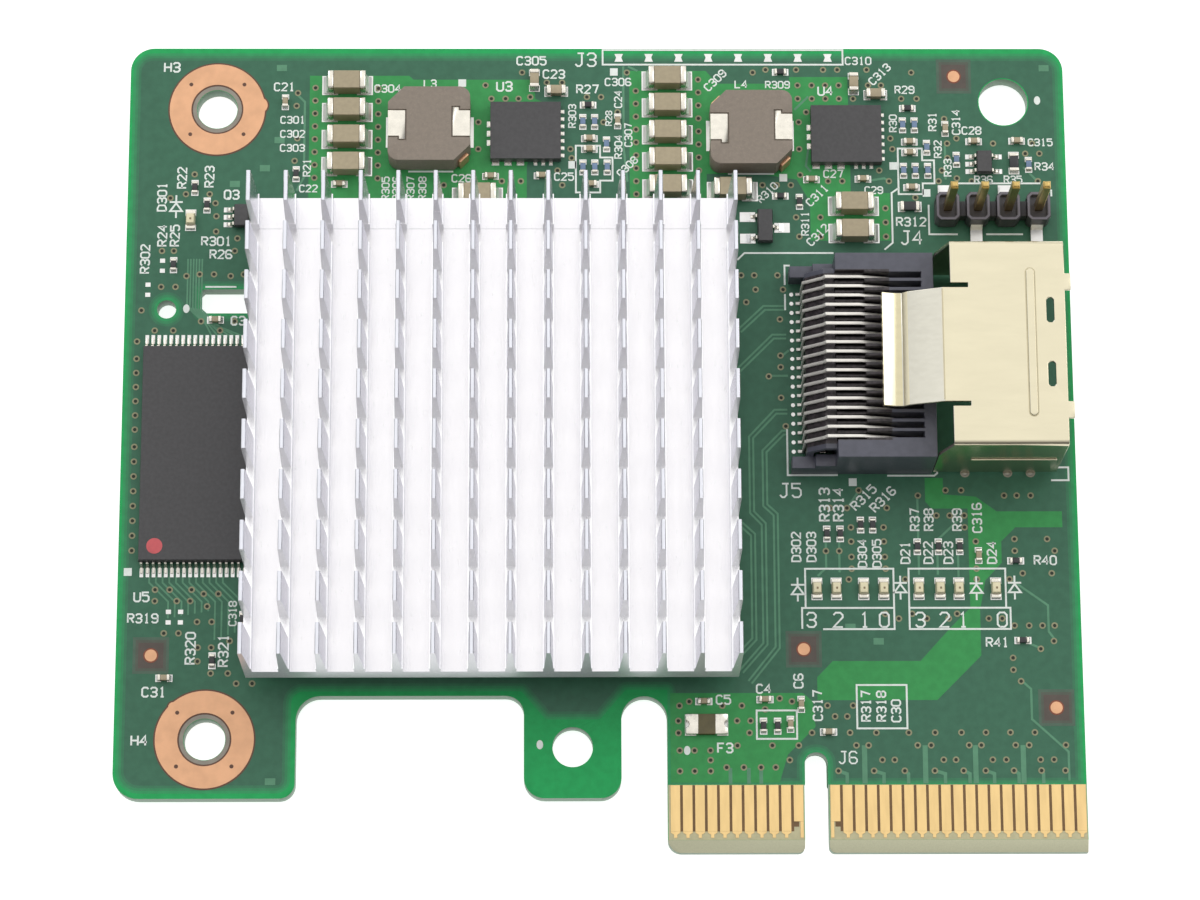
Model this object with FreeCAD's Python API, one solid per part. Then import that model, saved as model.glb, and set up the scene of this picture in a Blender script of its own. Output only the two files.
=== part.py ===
import FreeCAD, Part
import math
import os

# Storage controller card, low profile, component side up.
# Millimetres. X runs along the card edge, Y away from it, Z out of the component side.
# The origin is the key notch centre, on the lower edge of the tongue, at the board's underside.

# Board
BOARD_THICKNESS = 1.57
SHOULDER_Y = 12.9
TAB_Y = 4.45
TOP_CORNER_RADIUS = 2.0
LEFT_TAB_WIDTH = 14.8
LEFT_TAB_OUTER_RADIUS = 2.1
LEFT_TAB_INNER_RADIUS = 1.3
NOTCH_WIDTH = 18.6
NOTCH_LEFT_RADIUS = 2.0
NOTCH_RIGHT_RADIUS = 1.5
MIDDLE_TAB_WIDTH = 7.95
MIDDLE_TAB_RADIUS = 1.7
RELIEF_SLOT_WIDTH = 3.75
RELIEF_SLOT_TOP = 12.85
TONGUE_CORNER_RADIUS = 1.1
KEY_WIDTH = 2.0
KEY_TOP = 8.2
KEY_CORNER_RADIUS = 0.5
BEVEL_HEIGHT = 1.0
BEVEL_DEPTH = 0.37

# Edge contacts
CONTACT_PITCH = 1.0
CONTACTS_LEFT = 11
CONTACTS_RIGHT = 21
KEY_TO_CONTACT = 1.5
TONGUE_MARGIN = 0.6
RIGHT_MARGIN = 0.5
CONTACT_WIDTH = 0.78
CONTACT_TOP = 5.5
CONTACT_TIP = 1.7
SHORT_CONTACT_TIP = 2.5
COPPER_THICKNESS = 0.05

# Holes
MOUNT_HOLE_DIAMETER = 3.4
MOUNT_HOLE_INSET = 7.4
MOUNT_HOLE_DROP = 5.47
MOUNT_HOLE_RISE = 4.87
MOUNT_RING_INNER = 4.4
MOUNT_RING_OUTER = 8.06
CORNER_HOLE_DIAMETER = 4.15
CORNER_HOLE_INSET = 5.15
CORNER_HOLE_DROP = 4.8
TAB_HOLE_DIAMETER = 3.3
TAB_HOLE_RISE = 4.2
TOOLING_HOLE_DIAMETER = 1.6
TOOLING_HOLE_INSET = 3.5
TOOLING_HOLE_DROP = 23.1
SLOT_INSET = 6.3
SLOT_LENGTH = 7.9
SLOT_WIDTH = 2.1
SLOT_DROP = 22.4
SLOT_CORNER_CUT = 0.3
SMALL_HOLE_SIDES = 8
RING_SIDES = 20

# Controller stack and heatsink
FLASH_TO_CONTROLLER = 1.66
CONTROLLER_SIZE = 27.0
BALL_HEIGHT = 0.5
BALL_WIDTH = 0.6
BALL_MARGIN = 1.0
BALLS_PER_SIDE = 13
CENTRE_BALLS_PER_SIDE = 3
SUBSTRATE_THICKNESS = 0.6
CAP_SIZE = 24.0
CAP_HEIGHT = 1.2
CAP_DRAFT = 0.4
PAD_MARGIN = 1.0
PAD_THICKNESS = 0.3
HEATSINK_SETBACK = 1.03
HEATSINK_WIDTH = 40.0
HEATSINK_DEPTH = 40.0
HEATSINK_BASE = 2.4
FIN_HEIGHT = 7.4
FIN_COLUMNS = 14
FIN_ROWS = 10
FIN_TOP_THICKNESS = 0.45
FIN_FOOT_THICKNESS = 0.85
FIN_CUT_WIDTH = 1.5
DEEP_CUT = 0.15

# Flash memory chip
FLASH_INSET = 1.7
FLASH_WIDTH = 14.0
FLASH_DEPTH = 18.4
FLASH_DROP_FROM_CONTROLLER = 0.73
FLASH_STANDOFF = 0.1
FLASH_HEIGHT = 1.0
FLASH_LEADS = 28
FLASH_LEAD_PITCH = 0.5
FLASH_LEAD_WIDTH = 0.22
FLASH_LEAD_REACH = 0.85
LEAD_THICKNESS = 0.13
LEAD_SLOPE = 0.22
PACKAGE_DRAFT = 0.08

# Power stages
STAGE_X = -31.8
STAGE_PITCH = 27.1
STAGE_SETBACK = 4.09
STAGE_STEP = 0.3
TOP_MARGIN = 4.38
INDUCTOR_WIDTH = 6.9
INDUCTOR_DEPTH = 6.5
INDUCTOR_HEIGHT = 2.8
INDUCTOR_CHAMFER = 1.35
INDUCTOR_RADIUS = 0.9
CLIP_LENGTH = 1.45
CLIP_WIDTH = 2.25
CLIP_THICKNESS = 0.15
CLIP_FOOT = 1.2
CLIP_NIB_LENGTH = 0.5
CLIP_NIB_WIDTH = 0.28
CLIP_CLEARANCE = 0.12
WIRE_WIDTH = 1.0
WIRE_THICKNESS = 0.3
WIRE_HEIGHT = 1.7
REGULATOR_GAP = 1.68
REGULATOR_WIDTH = 5.95
REGULATOR_DEPTH = 5.05
REGULATOR_HEIGHT = 0.9
LAND_THICKNESS = 0.1
LAND_INSIDE = 0.45
LAND_OUTSIDE = 0.22
SIDE_LAND_WIDTH = 0.4
SIDE_LAND_PITCH = 0.83
WIDE_LAND_WIDTH = 0.5
WIDE_LAND_PITCH = 1.05
THIN_LAND_WIDTH = 0.25
THIN_LAND_PITCH = 0.65
THERMAL_LAND_WIDTH = 3.6
THERMAL_LAND_DEPTH = 2.8

# Large chip capacitors, each length, width, height and end cap length
BULK_CAPACITOR = (3.2, 1.6, 1.75, 0.5)
MEDIUM_CAPACITOR = (1.6, 0.8, 0.8, 0.35)
END_CAP_STEP = 0.03
# Small chip capacitors and resistors, each length, width and height
SMALL_CAPACITOR = (1.0, 0.5, 0.5)
LARGE_RESISTOR = (1.6, 0.8, 0.45)
SMALL_RESISTOR = (1.0, 0.5, 0.35)
BULK_COLUMN_GAP = 1.95
BULK_PITCH = 2.41
FIRST_BULK_RISE = (4.3, 5.02)
BULK_COUNT = (4, 5)

# Indicator lights
LED_LENGTH = 1.6
LED_WIDTH = 0.8
LED_BASE_HEIGHT = 0.3
LED_TERMINAL_LENGTH = 0.3
LED_LENS_HEIGHT = 0.4
LED_LENS_DRAFT = 0.1

# Resettable fuse
FUSE_X = -8.9
FUSE_Y = 10.45
FUSE_LENGTH = 3.4
FUSE_WIDTH = 1.65
FUSE_HEIGHT = 0.6
FUSE_END = 1.0
FUSE_NOTCH_WIDTH = 0.6

# Small semiconductors, each body length across the leads, body width and height
SWITCH_BODY = (1.25, 2.0, 0.85)
SWITCH_LEADS = ((0.65, 0.0, -0.65), (0.65, 0.0, -0.65))
TRANSISTOR_BODY = (1.3, 2.9, 0.95)
TRANSISTOR_LEADS = ((0.95, -0.95), (0.0,))
GATE_BODY = (1.3, 2.0, 0.95)
GATE_LEADS = ((0.65, 0.0, -0.65), (0.65, -0.65))
SMALL_STANDOFF = 0.08
SMALL_LEAD_WIDTH = 0.3
SMALL_LEAD_REACH = 0.55

# Four-pin header
HEADER_INSET = 6.5
HEADER_DROP = 14.82
HEADER_PINS = 4
HEADER_PITCH = 2.54
HEADER_BLOCK_WIDTH = 1.95
HEADER_BLOCK_DEPTH = 2.45
HEADER_BLOCK_CHAMFER = 0.3
HEADER_HEIGHT = 2.5
HEADER_WAIST_DEPTH = 1.3
HEADER_WAIST_HEIGHT = 1.7
HEADER_RECESS_WALL = 0.3
HEADER_RECESS_DEPTH = 0.35
PIN_WIDTH = 0.64
PIN_TOP = 8.3
PIN_FRONT_REACH = 2.95
PIN_REAR_REACH = 2.4
PIN_FOOT_THICKNESS = 0.4
PIN_POINT = 0.2

# Cable port
PORT_DROP = 28.65
MOUTH_SETBACK = 1.7
HOUSING_LENGTH = 8.1
HOUSING_SIDE_STEP = 0.05
HOUSING_HEIGHT = 5.8
POST_WIDTH = 1.0
REAR_POST_LENGTH = 1.9
REAR_POST_HEIGHT = 2.0
FRONT_POST_LENGTH = 1.65
FRONT_POST_HEIGHT = 2.7
PORT_CONTACTS = 18
PORT_PITCH = 0.8
PORT_CONTACT_WIDTH = 0.26
PORT_CONTACT_THICKNESS = 0.18
CHANNEL_CLEARANCE = 0.13
CHANNEL_END_WALL = 1.0
RIB_DROP = 0.8
RIB_CUT_MARGIN = 0.4
CARD_SLOT_BOTTOM = 2.0
CARD_SLOT_HEIGHT = 1.3
CARD_SLOT_MARGIN = 0.75
CARD_SLOT_DEPTH = 5.6
UPPER_FOOT_OUT = 2.95
UPPER_RISER_OUT = 2.44
UPPER_KNEE_OUT = 0.92
UPPER_CREST_OUT = 0.7
CREST_DEPTH = 0.45
RISER_DROP = 1.85
KNEE_DROP = 0.45
TAIL_COVER_GAP = 0.06
TAIL_COVER_WALL = 0.6
CREST_LENGTH = 2.0
DIP_LENGTH = 2.2
DIP_DROP = 0.6
LOWER_FOOT_OUT = 1.2
LOWER_FOOT_IN = 0.45
LOWER_BEND_OUT = 0.25
LOWER_TIP_SETBACK = 0.6

# Port shell
SHELL_LENGTH = 9.33
SHELL_WIDTH = 17.3
SHELL_HEIGHT = 9.5
SHELL_THICKNESS = 0.3
SHELL_INNER_BEND = 0.15
SHELL_LIFT = 0.5
SHELL_OVERHANG = 1.0
SHELL_REAR_GAP = 0.08
SHELL_SLANT_HEIGHT = 5.9
SIDE_RIB_HEIGHT = 4.6
SIDE_RIB_WIDTH = 0.3
SIDE_RIB_PROUD = 0.12
SIDE_RIB_SETBACK = 1.8
SIDE_RIB_END = 0.5
TONGUE_WIDTH = 9.6
TONGUE_SHIFT = 0.18
TONGUE_SLOT_WIDTH = 0.4
TONGUE_SLOT_LENGTH = 1.45
TONGUE_FLAT = 0.65
TONGUE_RAMP_LENGTH = 2.77
TONGUE_RAMP_DROP = 1.2
TONGUE_STEP_LENGTH = 0.45
TONGUE_STEP_DROP = 0.45
TONGUE_HEEL_LENGTH = 0.65
TONGUE_LIP_LENGTH = 0.95
TONGUE_LIP_RISE = 0.3
BEAD_SETBACK = 2.8
BEAD_WIDTH = 0.65
BEAD_LENGTH = 12.4
BEAD_HEIGHT = 0.12
LATCH_SLOT_SETBACK = 1.23
LATCH_SLOT_SPREAD = 5.4
LATCH_SLOT_WIDTH = 0.65
LATCH_SLOT_LENGTH = 2.1
END_CUT_SHARE = 0.3
MOUTH_LIP_SPREAD = 10.8
MOUTH_LIP_SHIFT = 0.3
MOUTH_LIP_WIDTH = 1.4
MOUTH_LIP_LENGTH = 0.5
LEG_SETBACKS = (7.55, 4.0, 2.1)
LEG_WIDTH = 0.7
LEG_PROUD = 0.35
LEG_HOLE_DIAMETER = 1.1

# Places worked out from the sizes
TOP = BOARD_THICKNESS
TONGUE_LEFT = -(KEY_TO_CONTACT + (CONTACTS_LEFT - 1) * CONTACT_PITCH + TONGUE_MARGIN)
BOARD_RIGHT = KEY_TO_CONTACT + (CONTACTS_RIGHT - 1) * CONTACT_PITCH + RIGHT_MARGIN
MIDDLE_TAB_RIGHT = TONGUE_LEFT - RELIEF_SLOT_WIDTH
MIDDLE_TAB_LEFT = MIDDLE_TAB_RIGHT - MIDDLE_TAB_WIDTH
LEFT_TAB_RIGHT = MIDDLE_TAB_LEFT - NOTCH_WIDTH
BOARD_LEFT = LEFT_TAB_RIGHT - LEFT_TAB_WIDTH
FLASH_X = BOARD_LEFT + FLASH_INSET + FLASH_WIDTH / 2
CONTROLLER_X = FLASH_X + FLASH_WIDTH / 2 + FLASH_TO_CONTROLLER + CONTROLLER_SIZE / 2
CONTROLLER_Y = SHOULDER_Y + HEATSINK_SETBACK + HEATSINK_DEPTH / 2
BALL_PITCH = (CONTROLLER_SIZE - 2 * BALL_MARGIN) / (BALLS_PER_SIDE - 1)
FLASH_Y = CONTROLLER_Y - FLASH_DROP_FROM_CONTROLLER
HEATSINK_BACK = CONTROLLER_Y + HEATSINK_DEPTH / 2
STAGE_Y = HEATSINK_BACK + STAGE_SETBACK + INDUCTOR_DEPTH / 2
BOARD_TOP = STAGE_Y + INDUCTOR_DEPTH / 2 + TOP_MARGIN
STAGES = ((STAGE_X, STAGE_Y), (STAGE_X + STAGE_PITCH, STAGE_Y - STAGE_STEP))
REGULATOR_OFFSET = INDUCTOR_WIDTH / 2 + REGULATOR_GAP + REGULATOR_WIDTH / 2
BULK_OFFSET = INDUCTOR_WIDTH / 2 + BULK_COLUMN_GAP + BULK_CAPACITOR[0] / 2
HEADER_X = BOARD_RIGHT - HEADER_INSET
HEADER_Y = BOARD_TOP - HEADER_DROP
PORT_Y = BOARD_TOP - PORT_DROP
HOUSING_WIDTH = SHELL_WIDTH + 2 * HOUSING_SIDE_STEP
SHELL_BEND_RADIUS = SHELL_INNER_BEND + SHELL_THICKNESS
PORT_FRONT = PORT_Y - HOUSING_WIDTH / 2
MOUTH_X = BOARD_RIGHT - MOUTH_SETBACK
SHELL_REAR = MOUTH_X - SHELL_LENGTH
HOUSING_RIGHT = SHELL_REAR - SHELL_OVERHANG
HOUSING_LEFT = HOUSING_RIGHT - HOUSING_LENGTH
SHELL_WALL_Y = (SHELL_WIDTH - SHELL_THICKNESS) / 2
TONGUE_Y = PORT_Y - TONGUE_SHIFT
BASE_Z = TOP + BALL_HEIGHT + SUBSTRATE_THICKNESS + CAP_HEIGHT + PAD_THICKNESS

# Places of the small parts, each along X or Y and measured from the anchor in its name
# From a power stage's inductor, the same in both stages
STAGE_MEDIUM_CAPACITORS = ((8.85, 4.75, "y"), (10.7, 3.75, "x"))
STAGE_SMALL_CAPACITORS = (
    (13.5, -0.45, "x"), (13.5, -1.4, "x"), (13.6, -4.5, "x"), (5.15, -3.8, "x"), (9.5, -3.75, "x"))
STAGE_BLACK_RESISTORS = ((13.4, 2.55, "x"),)
STAGE_BLUE_RESISTORS = (
    (12.95, 1.05, "y"), (13.95, 1.05, "y"), (14.95, -0.95, "y"),
    (12.95, -3.0, "y"), (13.95, -3.0, "y"), (15.0, -3.0, "y"))
# From the first or second stage's inductor alone
FIRST_STAGE_BULK = ((4.05, -5.65, "x"),)
SECOND_STAGE_BULK = ((-1.55, -4.85, "x"), (8.65, -6.15, "x"), (8.65, -8.55, "x"))
FIRST_STAGE_SMALL_CAPACITORS = ((15.9, 1.1, "y"), (-7.6, -4.5, "x"), (-12.25, 2.8, "y"))
FIRST_STAGE_BLACK_RESISTORS = ((-11.25, -3.6, "y"),)
SECOND_STAGE_BLACK_RESISTORS = ((2.65, 5.8, "x"), (2.5, -5.25, "x"), (4.1, -5.75, "y"))
SECOND_STAGE_LARGE_RESISTORS = ((13.4, -6.2, "x"),)
TRANSISTOR_OFFSET = (1.15, -8.05)
# From the board's right and top edges, as inset and drop
RIGHT_SMALL_CAPACITORS = ((10.15, 7.2, "y"), (7.75, 8.35, "x"), (4.1, 8.3, "x"))
RIGHT_BLUE_RESISTORS = ((9.25, 9.95, "y"), (3.15, 10.4, "y"))
RIGHT_LARGE_RESISTORS = ((4.4, 10.25, "y"),)
GATE_INSET = 6.95
GATE_DROP = 10.35
# From the board's left and top edges, as inset and drop
LEFT_BLACK_RESISTORS = ((5.65, 12.45, "y"), (6.7, 14.0, "y"), (4.0, 19.25, "y"))
LEFT_SMALL_CAPACITORS = ((7.6, 24.05, "x"),)
LEFT_LED = (5.35, 15.3)
SWITCH_INSET = 9.65
SWITCH_DROP = 15.05
# From the board's left edge and the lower edge
LOWER_LEFT_BLACK_RESISTORS = ((7.9, 15.85, "y"), (10.35, 19.3, "y"))
LOWER_LEFT_SMALL_CAPACITORS = ((4.0, 14.4, "x"),)
# From the board's right edge and the port's front, as inset and drop
LED_DROP = 9.75
LED_INSETS = (21.7, 20.1, 17.85, 16.2, 13.3, 11.55, 10.0, 6.95)
PORT_BLACK_RESISTORS = (
    (20.8, 5.1, "y"), (19.7, 5.1, "y"), (18.0, 4.35, "y"), (17.0, 4.35, "y"), (13.35, 6.2, "y"),
    (11.6, 6.2, "y"), (9.85, 6.2, "y"), (5.25, 7.4, "x"), (4.85, 14.1, "x"))
PORT_SMALL_CAPACITORS = ((8.3, 6.95, "y"),)
# From the key notch and the lower edge
KEY_SMALL_CAPACITORS = (
    (-9.1, 12.4, "x"), (-4.1, 12.55, "x"), (-1.15, 12.15, "y"), (1.05, 9.85, "x"), (-2.05, 10.5, "y"))
KEY_BLACK_RESISTORS = ((-4.25, 10.35, "y"), (-3.1, 10.35, "y"))

nodes = {}


def keep(name, solids):
    nodes[name] = list(solids)


def vector(x, y, z=0.0):
    return FreeCAD.Vector(x, y, z)


def box(x0, x1, y0, y1, z0, z1):
    return Part.makeBox(x1 - x0, y1 - y0, z1 - z0, vector(x0, y0, z0))


def centred_box(x, y, length, width, z0, height):
    return Part.makeBox(length, width, height, vector(x - length / 2, y - width / 2, z0))


def cylinder(x, y, diameter, z0, height):
    return Part.makeCylinder(diameter / 2, height, vector(x, y, z0))


def rounded_wire(corners):
    """Closed wire in the XY plane through corners (x, y, radius)."""
    count = len(corners)
    joints = []
    for index, (x, y, radius) in enumerate(corners):
        corner = vector(x, y)
        before = vector(*corners[index - 1][:2]) - corner
        after = vector(*corners[(index + 1) % count][:2]) - corner
        before.normalize()
        after.normalize()
        half_angle = before.getAngle(after) / 2
        run = radius / math.tan(half_angle)
        middle = before + after
        middle.normalize()
        to_arc = radius / math.sin(half_angle) - radius
        joints.append((corner + before * run, corner + middle * to_arc, corner + after * run))
    edges = []
    for index, (start, peak, end) in enumerate(joints):
        if start.distanceToPoint(end) > Part.Precision.confusion():
            edges.append(Part.Arc(start, peak, end).toShape())
        following = joints[(index + 1) % count][0]
        if end.distanceToPoint(following) > Part.Precision.confusion():
            edges.append(Part.LineSegment(end, following).toShape())
    return Part.Wire(edges)


def plate(corners, z0, height):
    """Flat solid with the outline of rounded_wire."""
    solid = Part.Face(rounded_wire(corners)).extrude(vector(0, 0, height))
    solid.translate(vector(0, 0, z0))
    return solid


def polygon_plate(points, z0, height):
    return plate([(x, y, 0.0) for x, y in points], z0, height)


def prism(x, y, diameter, sides, z0, height):
    """Upright prism inside a circle, for small round features."""
    angles = [step * 2 * math.pi / sides for step in range(sides)]
    points = [(x + diameter / 2 * math.cos(angle), y + diameter / 2 * math.sin(angle)) for angle in angles]
    return polygon_plate(points, z0, height)


def cut_corner_plate(x, y, length, width, cut, z0, height):
    """Flat rectangle about (x, y) with its four corners cut off."""
    u = length / 2
    v = width / 2
    points = ((x - u, y - v + cut), (x - u + cut, y - v), (x + u - cut, y - v), (x + u, y - v + cut),
              (x + u, y + v - cut), (x + u - cut, y + v), (x - u + cut, y + v), (x - u, y + v - cut))
    return polygon_plate(points, z0, height)


def frustum(x, y, z0, height, lower, upper):
    """Tapered block between two rectangles, each (length, width)."""
    wires = []
    for (length, width), z in ((lower, z0), (upper, z0 + height)):
        corners = [vector(x + sx * length / 2, y + sy * width / 2, z)
                   for sx, sy in ((-1, -1), (1, -1), (1, 1), (-1, 1), (-1, -1))]
        wires.append(Part.makePolygon(corners))
    return Part.makeLoft(wires, True, True)


def moulded_body(x, y, z0, length, width, height, draft):
    """Moulded package: widest at its parting line, drawn in above and below."""
    middle = (length, width)
    drawn = (length - 2 * draft, width - 2 * draft)
    lower = frustum(x, y, z0, height / 2, drawn, middle)
    upper = frustum(x, y, z0 + height / 2, height / 2, middle, drawn)
    return lower.fuse(upper).removeSplitter()


def ribbon(path, thickness):
    """Outline of a bent strip: the path and its mitred offset to the left."""
    points = [vector(u, w) for u, w in path]
    normals = []
    for start, end in zip(points, points[1:]):
        run = end - start
        run.normalize()
        normals.append(vector(-run.y, run.x))
    offset = [points[0] + normals[0] * thickness]
    for point, first, second in zip(points[1:], normals, normals[1:]):
        offset.append(point + (first + second) * (thickness / (1 + first.dot(second))))
    offset.append(points[-1] + normals[-1] * thickness)
    return points + offset[::-1]


def side_profile(outline, width, x, y, heading):
    """Upright outline of (out, up) points given a width and headed outwards from (x, y)."""
    corners = [vector(out, -width / 2, up) for out, up in outline]
    face = Part.Face(Part.makePolygon(corners + corners[:1]))
    solid = face.extrude(vector(0, width, 0))
    solid.rotate(vector(0, 0), vector(0, 0, 1), heading)
    solid.translate(vector(x, y))
    return solid


def bent_strip(path, thickness, width, x, y, heading):
    """Strip of sheet bent along a path of (out, up), headed outwards from (x, y)."""
    outline = [(point.x, point.y) for point in ribbon(path, thickness)]
    return side_profile(outline, width, x, y, heading)


def gull_wing(body_z, reach, width, x, y, heading):
    """Lead from a body's side at (x, y) down to a flat foot on the board."""
    thick = LEAD_THICKNESS
    outline = ((0.0, body_z), (LEAD_SLOPE, TOP), (reach, TOP), (reach, TOP + thick),
               (LEAD_SLOPE + thick, TOP + thick), (thick, body_z + thick), (0.0, body_z + thick))
    return side_profile(outline, width, x, y, heading)


def contact_xs():
    left = [-(KEY_TO_CONTACT + index * CONTACT_PITCH) for index in range(CONTACTS_LEFT)]
    right = [KEY_TO_CONTACT + index * CONTACT_PITCH for index in range(CONTACTS_RIGHT)]
    return left + right


def leg_places():
    for setback in LEG_SETBACKS:
        for side in (-1, 1):
            yield MOUTH_X - setback, PORT_Y + side * SHELL_WALL_Y


def mount_holes():
    x = BOARD_LEFT + MOUNT_HOLE_INSET
    return ((x, BOARD_TOP - MOUNT_HOLE_DROP), (x, TAB_Y + MOUNT_HOLE_RISE))


def board_outline():
    half_key = KEY_WIDTH / 2
    half_relief = RELIEF_SLOT_WIDTH / 2
    return [
        (TONGUE_LEFT, 0.0, TONGUE_CORNER_RADIUS),
        (-half_key, 0.0, KEY_CORNER_RADIUS),
        (-half_key, KEY_TOP, half_key),
        (half_key, KEY_TOP, half_key),
        (half_key, 0.0, KEY_CORNER_RADIUS),
        (BOARD_RIGHT, 0.0, 0.0),
        (BOARD_RIGHT, BOARD_TOP, TOP_CORNER_RADIUS),
        (BOARD_LEFT, BOARD_TOP, TOP_CORNER_RADIUS),
        (BOARD_LEFT, TAB_Y, LEFT_TAB_OUTER_RADIUS),
        (LEFT_TAB_RIGHT, TAB_Y, LEFT_TAB_INNER_RADIUS),
        (LEFT_TAB_RIGHT, SHOULDER_Y, NOTCH_LEFT_RADIUS),
        (MIDDLE_TAB_LEFT, SHOULDER_Y, NOTCH_RIGHT_RADIUS),
        (MIDDLE_TAB_LEFT, TAB_Y, MIDDLE_TAB_RADIUS),
        (MIDDLE_TAB_RIGHT, TAB_Y, MIDDLE_TAB_RADIUS),
        (MIDDLE_TAB_RIGHT, RELIEF_SLOT_TOP, half_relief),
        (TONGUE_LEFT, RELIEF_SLOT_TOP, half_relief),
    ]


def bevels():
    """Wedges taken off both faces along the tongue's lower edge."""
    length = BOARD_RIGHT - TONGUE_LEFT
    for face_z, inside in ((0.0, BEVEL_DEPTH), (TOP, TOP - BEVEL_DEPTH)):
        corners = [vector(TONGUE_LEFT, 0, face_z), vector(TONGUE_LEFT, BEVEL_HEIGHT, face_z),
                   vector(TONGUE_LEFT, 0, inside), vector(TONGUE_LEFT, 0, face_z)]
        yield Part.Face(Part.makePolygon(corners)).extrude(vector(length, 0, 0))


def board_slot():
    left = BOARD_LEFT + SLOT_INSET
    return cut_corner_plate(left + SLOT_LENGTH / 2, BOARD_TOP - SLOT_DROP, SLOT_LENGTH, SLOT_WIDTH,
                            SLOT_CORNER_CUT, 0.0, TOP)


def circuit_board():
    board = plate(board_outline(), 0.0, TOP)
    tab_hole_x = (MIDDLE_TAB_LEFT + MIDDLE_TAB_RIGHT) / 2
    holes = [(x, y, MOUNT_HOLE_DIAMETER) for x, y in mount_holes()]
    holes.append((BOARD_RIGHT - CORNER_HOLE_INSET, BOARD_TOP - CORNER_HOLE_DROP, CORNER_HOLE_DIAMETER))
    holes.append((tab_hole_x, TAB_Y + TAB_HOLE_RISE, TAB_HOLE_DIAMETER))
    cuts = [cylinder(x, y, diameter, 0.0, TOP) for x, y, diameter in holes]
    cuts.append(prism(BOARD_LEFT + TOOLING_HOLE_INSET, BOARD_TOP - TOOLING_HOLE_DROP, TOOLING_HOLE_DIAMETER,
                      RING_SIDES, 0.0, TOP))
    cuts.extend(prism(x, y, LEG_HOLE_DIAMETER, SMALL_HOLE_SIDES, 0.0, TOP) for x, y in leg_places())
    cuts.append(board_slot())
    cuts.extend(bevels())
    keep("circuit_board", [board.cut(cuts)])


def edge_contact(x, z0):
    beside_key = abs(abs(x) - KEY_TO_CONTACT) < CONTACT_PITCH / 2
    tip = SHORT_CONTACT_TIP if beside_key else CONTACT_TIP
    half = CONTACT_WIDTH / 2
    return box(x - half, x + half, tip, CONTACT_TOP, z0, z0 + COPPER_THICKNESS)


def edge_contacts():
    keep("edge_contacts_upper", [edge_contact(x, TOP) for x in contact_xs()])
    keep("edge_contacts_lower", [edge_contact(x, -COPPER_THICKNESS) for x in contact_xs()])


def mounting_rings():
    rings = []
    for x, y in mount_holes():
        for z0 in (TOP, -COPPER_THICKNESS):
            outer = prism(x, y, MOUNT_RING_OUTER, RING_SIDES, z0, COPPER_THICKNESS)
            rings.append(outer.cut(prism(x, y, MOUNT_RING_INNER, RING_SIDES, z0, COPPER_THICKNESS)))
    keep("mounting_rings", rings)


def ball_places():
    """One ring of balls under the package's rim and a square field under its centre."""
    outer = [(index - (BALLS_PER_SIDE - 1) / 2) * BALL_PITCH for index in range(BALLS_PER_SIDE)]
    inner_first = (BALLS_PER_SIDE - CENTRE_BALLS_PER_SIDE) // 2
    inner = outer[inner_first:inner_first + CENTRE_BALLS_PER_SIDE]
    rim = (outer[0], outer[-1])
    places = [(u, v) for u in outer for v in outer if u in rim or v in rim]
    return places + [(u, v) for u in inner for v in inner]


def controller():
    keep("controller_solder_balls", [
        centred_box(CONTROLLER_X + u, CONTROLLER_Y + v, BALL_WIDTH, BALL_WIDTH, TOP, BALL_HEIGHT)
        for u, v in ball_places()])
    substrate_z = TOP + BALL_HEIGHT
    cap_z = substrate_z + SUBSTRATE_THICKNESS
    pad_size = CAP_SIZE - 2 * CAP_DRAFT - PAD_MARGIN
    keep("controller_substrate", [centred_box(
        CONTROLLER_X, CONTROLLER_Y, CONTROLLER_SIZE, CONTROLLER_SIZE, substrate_z, SUBSTRATE_THICKNESS)])
    keep("controller_cap", [frustum(
        CONTROLLER_X, CONTROLLER_Y, cap_z, CAP_HEIGHT, (CAP_SIZE, CAP_SIZE),
        (CAP_SIZE - 2 * CAP_DRAFT, CAP_SIZE - 2 * CAP_DRAFT))])
    keep("thermal_pad", [centred_box(
        CONTROLLER_X, CONTROLLER_Y, pad_size, pad_size, cap_z + CAP_HEIGHT, PAD_THICKNESS)])


def fin_profile(left, right, z0):
    """Fin sections across the heatsink; the outer faces of the end fins stand upright."""
    pitch = (right - left - FIN_TOP_THICKNESS) / (FIN_COLUMNS - 1)
    flare = (FIN_FOOT_THICKNESS - FIN_TOP_THICKNESS) / 2
    for index in range(FIN_COLUMNS):
        tip_left = left + index * pitch
        tip_right = tip_left + FIN_TOP_THICKNESS
        foot_left = tip_left if index == 0 else tip_left - flare
        foot_right = tip_right if index == FIN_COLUMNS - 1 else tip_right + flare
        yield (foot_left, z0), (foot_right, z0), (tip_right, z0 + FIN_HEIGHT), (tip_left, z0 + FIN_HEIGHT)


def heatsink():
    left = CONTROLLER_X - HEATSINK_WIDTH / 2
    right = CONTROLLER_X + HEATSINK_WIDTH / 2
    front = CONTROLLER_Y - HEATSINK_DEPTH / 2
    floor_z = BASE_Z + HEATSINK_BASE
    row_pitch = (HEATSINK_DEPTH + FIN_CUT_WIDTH) / FIN_ROWS
    pin_length = row_pitch - FIN_CUT_WIDTH
    pins = []
    for section in fin_profile(left, right, floor_z):
        for row in range(FIN_ROWS):
            corners = [vector(x, front + row * row_pitch, z) for x, z in section]
            face = Part.Face(Part.makePolygon(corners + corners[:1]))
            pins.append(face.extrude(vector(0, pin_length, 0)))
    deep_front = front + (FIN_ROWS - 1) * row_pitch - FIN_CUT_WIDTH
    base = box(left, right, front, HEATSINK_BACK, BASE_Z, floor_z)
    groove = box(left, right, deep_front, deep_front + FIN_CUT_WIDTH, floor_z - DEEP_CUT, floor_z)
    keep("heatsink", [base.cut(groove).fuse(pins)])


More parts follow.
